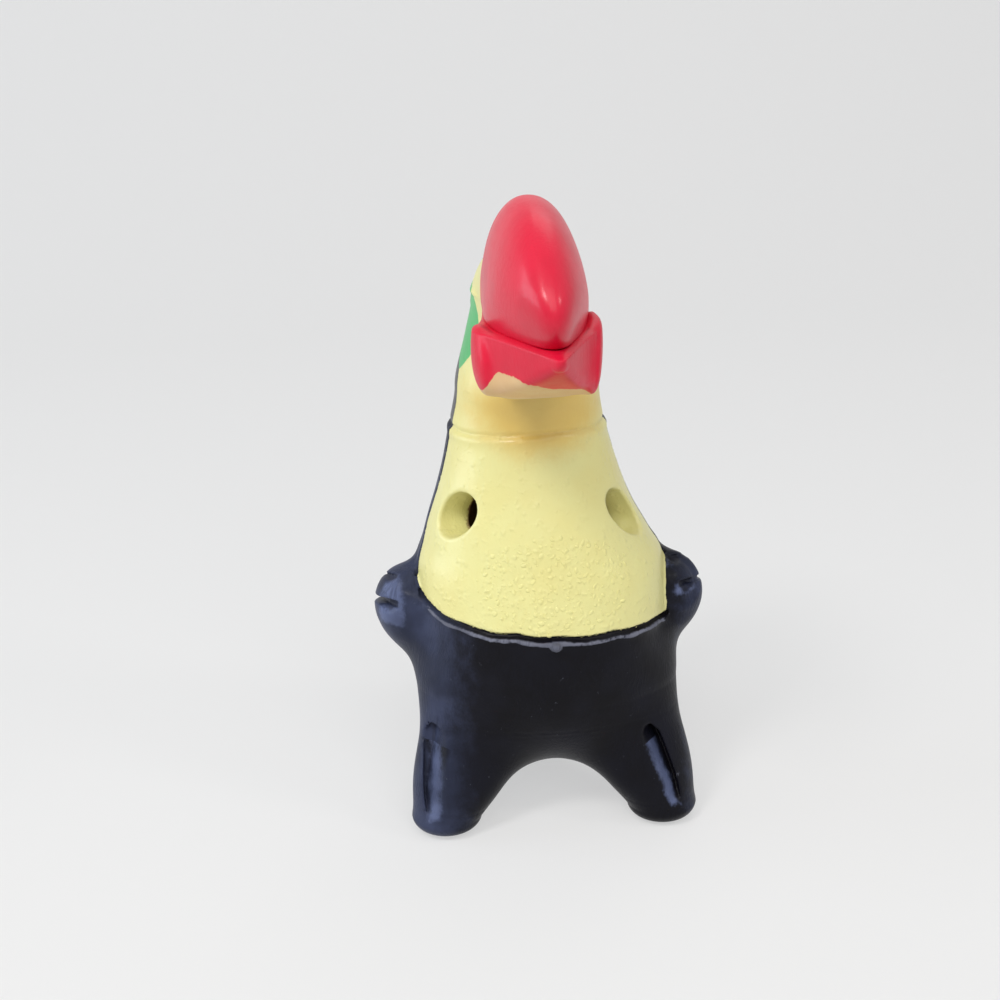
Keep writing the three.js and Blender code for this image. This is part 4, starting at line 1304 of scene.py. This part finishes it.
@dataclass
class Toucan:
    """The whole bird: the fused clay, and each piece's share of it."""

    body: Body = field(default_factory=Body)
    bib: Bib = field(default_factory=Bib)
    bill: Bill = field(default_factory=Bill)
    drop: Lobe = Lobe((0.9, -21.9, 36.6), (0.75, 0.8, 0.75))
    wings: dict[Side, Wing] = field(default_factory=lambda: {s: Wing(s) for s in Side})
    legs: dict[Side, Leg] = field(default_factory=lambda: {s: Leg(s) for s in Side})
    tail: Tail = field(default_factory=Tail)
    leg_fillet: float = 6.5
    tail_fillet: float = 5.0
    base_round: float = 0.5

    def torso(self, x: Array, y: Array, z: Array) -> Array:
        """Body, wings and head in one skin, with the bib's groove and the collar crease."""
        lump = skin = self.body.lump(x, y, z)
        past = self.bib.outside(x, y, z)
        fillet = (3 + 3.5 * step(38 - z, 0, 6)) * (0.4 + 0.6 * step(past, 0.3, 3))
        for wing in self.wings.values():
            skin = join(skin, wing.leaf(x, y, z) + 0.7 * step(0.9 - past, 0, 1.6), fillet)
        for wing in self.wings.values():
            skin = wing.score(skin, x, y, z)
        groove = self.bib.groove(x, y, z) * (1 - step(lump, 0.2, 0.6))
        skin = join(skin, self.drop(self.body.upright(x, z), y, z), 0.4)
        return skin + groove + self.body.crease(x, y, z)

    def seam(self, x: Array, y: Array, z: Array) -> Array:
        """How far a point lies outside the breast shell's own part of the clay."""
        proud = self.body.lump(x, y, z) - 0.22 - 0.3 * step(z, 48, 56)
        return np.maximum(self.bib.outside(x, y, z) - 0.16, 5 * proud)

    def hollow(self, skin: Array, *at: Array) -> Array:
        """Hollows the body and pierces the finger holes."""
        return np.maximum(self.bib.pierce(skin, *at), -self.body.chamber(*at))

    def trunk(self, x: Array, y: Array, z: Array) -> Array:
        """The torso with legs and tail, hollow, voiced and gouged."""
        skin = self.torso(x, y, z)
        for leg in self.legs.values():
            skin = join(skin, leg.cone(x, y, z), self.leg_fillet)
        skin = join(skin, self.tail.block(x, y, z), self.tail_fillet)
        skin = keep(skin, -z, self.base_round)
        for leg in self.legs.values():
            skin = leg.gouge(skin, x, y, z)
        skin = self.hollow(skin, x, y, z)
        skin = cut(skin, self.tail.windway(x, y, z), 0.35)
        return cut(skin, self.tail.window(x, y, z), 0.3)

    def face(self, *at: Array) -> Array:
        """The head with both halves of the bill pressed on."""
        skin = self.body.lump(*at) + self.body.crease(*at)
        return self.bill.press(skin, np.minimum(self.bill.top(*at), self.bill.scoop(*at)), *at)

    def breast_share(self, *at: Array) -> Array:
        """The breast shell."""
        outside = np.maximum(self.seam(*at), self.body.collar(*at))
        return share_out(self.hollow(self.torso(*at), *at), outside)

    def belly_share(self, *at: Array) -> Array:
        """The belly shell with the back."""
        others = [-self.seam(*at), self.body.collar(*at)]
        others += [-limb.outside(*at) for limb in self.limbs()]
        return share_out(self.trunk(*at), np.maximum.reduce(others))

    def limbs(self) -> list[Wing | Leg | Tail]:
        """Wings, legs and tail."""
        return [*self.wings.values(), *self.legs.values(), self.tail]

    def limb_share(self, limb: Wing | Leg | Tail, *at: Array) -> Array:
        """One limb, sunk a little into the body's wall."""
        outside = limb.outside(*at)
        if isinstance(limb, Wing):
            buried = np.maximum(-self.body.lump(*at) - 2.5, -self.seam(*at))
            outside = np.maximum(outside, buried)
        return share_out(self.trunk(*at), outside)

    def head_share(self, *at: Array) -> Array:
        """The head as far as the bill's root."""
        outside = np.maximum(-self.body.collar(*at), self.bill.root(*at))
        return share_out(self.face(*at), outside)

    def bill_share(self, upper: bool, *at: Array) -> Array:
        """One half of the bill, from its root on."""
        half, other = self.bill.top(*at), self.bill.scoop(*at)
        if not upper:
            half, other = other, half
        outside = np.maximum(-self.bill.root(*at), half - other - 0.5)
        return share_out(self.bill.press(self.body.lump(*at), half, *at), outside)

    # Painted areas, as distances that are below 0 inside

    def green_patch(self, x: Array, y: Array, z: Array) -> Array:
        """The green skin round each eye."""
        return (np.hypot((y - 1.4) / 7.5, (z - 85.7) / 7.3) - 1) * 7.4

    def throat_shadow(self, x: Array, y: Array, z: Array) -> Array:
        """The throat under the bill, painted a deeper, warmer yellow as painted shadow of the bill
        with the red bill's reflection in it.
        """
        a = self.body.upright(x, z)
        return np.maximum((np.hypot((a - 1.5) / 11, (z - 74) / 7) - 1) * 7, y + 2)

    def black_cap(self, x: Array, y: Array, z: Array) -> Array:
        """The black crown, nape and back of the neck."""
        return CAP_EDGE(z) + 2.2 * step(self.body.upright(x, z), -3, 3) - y

    def red_jaw(self, x: Array, y: Array, z: Array) -> Array:
        """The red of the lower bill: its rim and sides, down to a ragged line."""
        return JAW_EDGE(self.body.upright(x, z)) - z

    def grit(self, x: Array, y: Array, z: Array) -> Array:
        """The breast's gritty place."""
        a = self.body.upright(x, z)
        return (np.hypot((a - 2) / 13, (z - 46) / 8) - 1) * 8

    def rim(self, x: Array, y: Array, z: Array) -> Array:
        """The rim beyond the bib's groove and the small drip below the bib, painted pale grey:
        partly wear, partly painted highlight on the raised edges.
        """
        band = np.abs(self.bib.outside(x, y, z) - self.bib.groove_width - 0.5) - 0.26
        band = np.maximum(band, 3 * (self.body.lump(x, y, z) - 0.35))
        return np.minimum(band, self.drop(self.body.upright(x, z), y, z) - 0.3)

    def side_sheen(self, x: Array, y: Array, z: Array) -> Array:
        """The painted sheen on the flanks: a lighter blue-grey where the black catches the light,
        broader on the bird's right.
        """
        return np.minimum(x + 16.5, 24.5 - x)

    def leg_sheen(self, side: Side, x: Array, y: Array, z: Array) -> Array:
        """The painted sheen on a leg, which leaves out the pit at the gouge's top."""
        (top_x, top_z), _ = GOUGES[side]
        pit = 9.0 - 4.0 * np.hypot(x - top_x, (z - top_z + 2.4) / 1.7)
        return np.maximum(self.side_sheen(x, y, z), np.where(y < -8, pit, -9))

    def inside(self, *at: Array) -> Array:
        """The bare clay of the chamber's walls."""
        return self.body.chamber(*at) - 0.5


@dataclass
class Assembly:
    """Meshes and dresses the bird's pieces in order."""

    bird: Toucan
    shop: Workshop
    effects: Effects

    def place(self, node: str, slot: str, clay: Field, grid: Grid, finish: Material,
              masks: dict[str, Field]) -> Object:
        """Makes one piece, dresses it and sets it in the frame for its node.

        Args:
            node: the CAD node that the piece stands for.
            slot: the record's material slot; not used.
            clay: the piece's field.
            grid: the grid to mesh it on.
            finish: its material.
            masks: painted areas to keep on the mesh.

        Returns:
            The piece.
        """
        piece = self.shop.shape(f"{node}_clay", clay, grid, masks)
        piece.data.materials.append(finish)
        self.seat(piece, node, slot)
        return piece

    @staticmethod
    def seat(piece: Object, node: str, slot: str) -> None:
        """Sets a finished piece in the frame for its node, and reports it."""
        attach(piece, "root")
        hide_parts(node)
        log.info("%s: %d faces", piece.name, len(piece.data.polygons))

    def make_body(self) -> None:
        """Makes the breast and the belly."""
        bird = self.bird
        # The breast's throat layer is painted shadow of the bill.
        yellow = Finish("yellow_paint", YELLOW, (SHADED_THROAT, BARE), coat=0.35, peel=0.5, scuffs=0.15,
                        scuff_paint=CREAM, bump=0.6, crease_shading=0.06)
        # Its rim layer's pale grey is partly wear and partly painted highlight along the bib's
        # raised rim.
        # Its sheen layer is painted highlight on the lit flanks.
        black = blackened("black_paint", SHEEN, Layer(RIM, "rim", 0.25, 0.12), BARE)
        masks = {"inside": bird.inside}
        breast = self.place("breast_shell", "yellow_paint", bird.breast_share,
                            Grid((-26, -24, 34), (24, 4, 73), 0.36), yellow.make(self.effects),
                            masks | {"throat_shadow": bird.throat_shadow, "grit": bird.grit})
        plain = Finish("yellow_grains", YELLOW, peel=0.5, scuffs=0.0).make(self.effects)
        tree = Grains.make_tree()
        for name, grains in (("coarse", Grains("grit", 0.8e6, 0.001, 0.00044, 4)),
                             ("fine", Grains("grit", 1.6e6, 0.0006, 0.00024, 9))):
            strewn = grains.strew(tree, breast, f"breast_{name}_grit", plain)
            self.seat(strewn, "breast_shell", "yellow_paint")
        self.place("belly_shell", "black_paint", bird.belly_share,
                   Grid((-27, -25, 5), (27, 23, 73), 0.42), black.make(self.effects),
                   masks | {"rim": bird.rim, "side_sheen": bird.side_sheen})

    def make_limbs(self) -> None:
        """Makes wings, legs and tail."""
        bird = self.bird
        # Painted highlights: the sheen layer on the lit flanks, and pale blue-grey on lit score
        # lips and gouge floors.
        limbs = blackened("limb_paint", SHEEN, Layer(HIGHLIGHT_BLUE, "lit_faces", 1.0, 0.6))
        limb_paint = limbs.make(self.effects)
        for side in Side:
            name = side.name.lower()
            x = (7, 32) if side is Side.LEFT else (-32, -7)
            wing, leg = bird.wings[side], bird.legs[side]
            self.place(f"{name}_wing", "black_paint", partial(bird.limb_share, wing),
                       Grid((x[0], -12, 26), (x[1], 21, 48), 0.3), limb_paint,
                       {"lit_faces": wing.lit_faces, "side_sheen": bird.side_sheen})
            x = (2, 29) if side is Side.LEFT else (-29, -2)
            self.place(f"{name}_leg", "black_paint", partial(bird.limb_share, leg),
                       Grid((x[0], -24, -2), (x[1], -2, 22), 0.3), limb_paint,
                       {"lit_faces": leg.lit_faces, "side_sheen": partial(bird.leg_sheen, side)})
        tail_paint = blackened("tail_paint", BARE)
        self.place("tail", "black_paint", partial(bird.limb_share, bird.tail),
                   Grid((-14, 16, -2), (14, 48, 26), 0.36), tail_paint.make(self.effects),
                   {"inside": bird.inside})

    def make_head(self) -> None:
        """Makes the head, the bill and the eyes."""
        bird = self.bird
        # The face's throat layer is painted shadow of the bill; green and black are the face's own
        # paint.
        face = Finish("face_paint", YELLOW, (
            SHADED_THROAT, Layer(GREEN, "green", 0.35), Layer(BLACK, "black", 0.3)), peel=0.25,
            scuffs=0.15, scuff_paint=CREAM, bump=0.5, crease_shading=0.06)
        self.place("head", "yellow_paint", bird.head_share,
                   Grid((-17, -16, 67), (15, 15, 103), 0.33), face.make(self.effects),
                   {"green": bird.green_patch, "black": bird.black_cap, "throat_shadow": bird.throat_shadow})
        red = Finish("red_paint", RED, coat=0.35, shine=0.28, peel=0.06, scuffs=0.15,
                     scuff_paint=CREAM)
        self.place("upper_bill", "red_paint", partial(bird.bill_share, True),
                   Grid((-15, -48, 86), (10, -2, 112), 0.3), red.make(self.effects), {})
        jaw = Finish("jaw_paint", CREAM, (Layer(RED, "red", 0.5, 0.1),), coat=0.15, shine=0.28,
                     peel=0.1, scuffs=0.15, scuff_paint=CREAM)
        self.place("lower_bill", "red_paint", partial(bird.bill_share, False),
                   Grid((-15, -48, 80), (10, -2, 97), 0.3), jaw.make(self.effects),
                   {"red": bird.red_jaw})
        bead = Finish("eye_paint", BEAD, coat=0.8, coat_roughness=0.05, peel=0, waves=0, scuffs=0)
        beads = bead.make(self.effects)
        for side in Side:
            x = (3, 10) if side is Side.LEFT else (-15, -7)
            self.place(f"{side.name.lower()}_eye", "eye_paint", Eye(side).pellet,
                       Grid((x[0], -1, 84), (x[1], 8, 93), 0.16), beads, {})


# Studio


@dataclass
class Studio:
    """Pale floor and backdrop, soft lamps, and the camera."""

    shift: tuple[float, float]
    azimuth: float = -4.84
    elevation: float = 20.0
    distance: float = 260.0
    target: tuple[float, float, float] = (-7.19, 0.0, 54.76)
    roll: float = -1.27
    lens: float = 54.31

    def direction(self, azimuth: float, elevation: float) -> Vector:
        """The direction from the bird to a place at some bearing and height."""
        a, e = math.radians(azimuth), math.radians(elevation)
        return Vector((math.sin(a) * math.cos(e), -math.cos(a) * math.cos(e), math.sin(e)))

    def make_camera(self) -> None:
        """Puts the camera where the photograph was taken from."""
        camera = link("camera", bpy.data.cameras.new("camera"))
        camera.data.lens = self.lens
        camera.data.sensor_width = 36
        camera.data.clip_start = 0.01
        back = self.direction(self.azimuth, self.elevation)
        bearing = math.radians(self.azimuth)
        level = Vector((math.cos(bearing), math.sin(bearing), 0))
        rise = back.cross(level)
        turn = math.radians(self.roll)
        right = level * math.cos(turn) + rise * math.sin(turn)
        up = -level * math.sin(turn) + rise * math.cos(turn)
        place = (Vector(self.target) + Vector((*self.shift, 0)) + back * self.distance) * MM
        turned = Matrix((right, up, back)).transposed().to_4x4()
        camera.matrix_world = Matrix.Translation(place) @ turned
        bpy.context.scene.camera = camera

    def make_lamp(self, name: str, azimuth: float, elevation: float, size: float, watts: float,
                  away: float = 0.6) -> bpy.types.AreaLight:
        """Hangs a square soft lamp that faces the bird."""
        data = bpy.data.lights.new(name, "AREA")
        data.energy, data.size = watts, size
        lamp = link(name, data)
        out = self.direction(azimuth, elevation)
        turned = out.to_track_quat("Z", "Y").to_matrix().to_4x4()
        lamp.matrix_world = Matrix.Translation(Vector((0, 0, 0.06)) + out * away) @ turned
        return data

    @staticmethod
    def seen_directly(graph: Graph) -> Socket:
        """Gives 1 for what the camera sees itself, in a reflection or through something."""
        seen = graph.add("ShaderNodeLightPath").outputs
        direct = graph.math("MAXIMUM", seen["Is Camera Ray"], seen["Is Glossy Ray"])
        return graph.math("MAXIMUM", direct, seen["Is Transmission Ray"])

    def make_floor(self) -> None:
        """Makes the floor and backdrop in one sweep, with no line between them."""
        outline = [(-0.9, 0.0), (0.35, 0.0)]
        outline += [(0.35 + 0.35 * math.sin(t), 0.35 - 0.35 * math.cos(t))
                    for t in np.linspace(0.1, math.pi / 2, 14)]
        outline.append((0.7, 1.4))
        points = [(x, y, z) for y, z in outline for x in (-1.4, 1.4)]
        faces = [(2 * i, 2 * i + 1, 2 * i + 3, 2 * i + 2) for i in range(len(outline) - 1)]
        mesh = bpy.data.meshes.new("floor")
        mesh.from_pydata(points, [], faces)
        mesh.polygons.foreach_set("use_smooth", [True] * len(faces))
        floor = link("floor", mesh)
        material = bpy.data.materials.new("pale_floor")
        material.use_nodes = True
        shader = material.node_tree.nodes["Principled BSDF"]
        shader.inputs["Base Color"].default_value = srgb(226, 225, 223)
        shader.inputs["Roughness"].default_value = 0.9
        graph = Graph(material.node_tree)
        pale = graph.add("ShaderNodeEmission", {"Color": srgb(246, 246, 246), "Strength": 1.0})
        share = graph.math("MULTIPLY", self.seen_directly(graph), 0.55)
        both = graph.add("ShaderNodeMixShader", {
            0: share, 1: shader.outputs[0], 2: pale.outputs[0]})
        graph.tree.links.new(both.outputs[0], material.node_tree.nodes["Material Output"].inputs[0])
        mesh.materials.append(material)

    def make_world(self) -> None:
        """Lights the room evenly, with a pale background."""
        world = bpy.data.worlds.new("room")
        bpy.context.scene.world = world
        world.use_nodes = True
        background = world.node_tree.nodes["Background"]
        background.inputs[0].default_value = (0.94, 0.96, 1.0, 1)
        graph = Graph(world.node_tree)
        strength = graph.mix(self.seen_directly(graph), 0.3, 0.82)
        graph.tree.links.new(strength, background.inputs[1])

    def make(self) -> None:
        """Makes the whole studio."""
        self.make_floor()
        self.make_world()
        self.make_lamp("key", -42, 48, 0.14, 1.35)
        self.make_lamp("window", -98, 10, 0.5, 2.4, 0.8).color = (0.78, 0.88, 1.0)
        self.make_lamp("ceiling", 4, 44, 0.46, 1.5)
        self.make_lamp("fill", 62, 36, 0.1, 0.4)
        self.make_lamp("back", 160, 45, 0.5, 0.8, 0.9)
        self.make_camera()
        bpy.context.scene.view_settings.view_transform = "Standard"


def main() -> None:
    """Builds the bird's pieces in order, then the studio round them."""
    logging.basicConfig(level=logging.INFO, format="%(name)s %(message)s")
    low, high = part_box("tail")
    shift = ((low.x + high.x) / 2 / MM, high.y / MM - Tail().end_y)
    assembly = Assembly(Toucan(), Workshop(shift), Effects())
    assembly.make_body()
    assembly.make_limbs()
    assembly.make_head()
    Studio(shift).make()


if __name__ == "__main__":
    main()
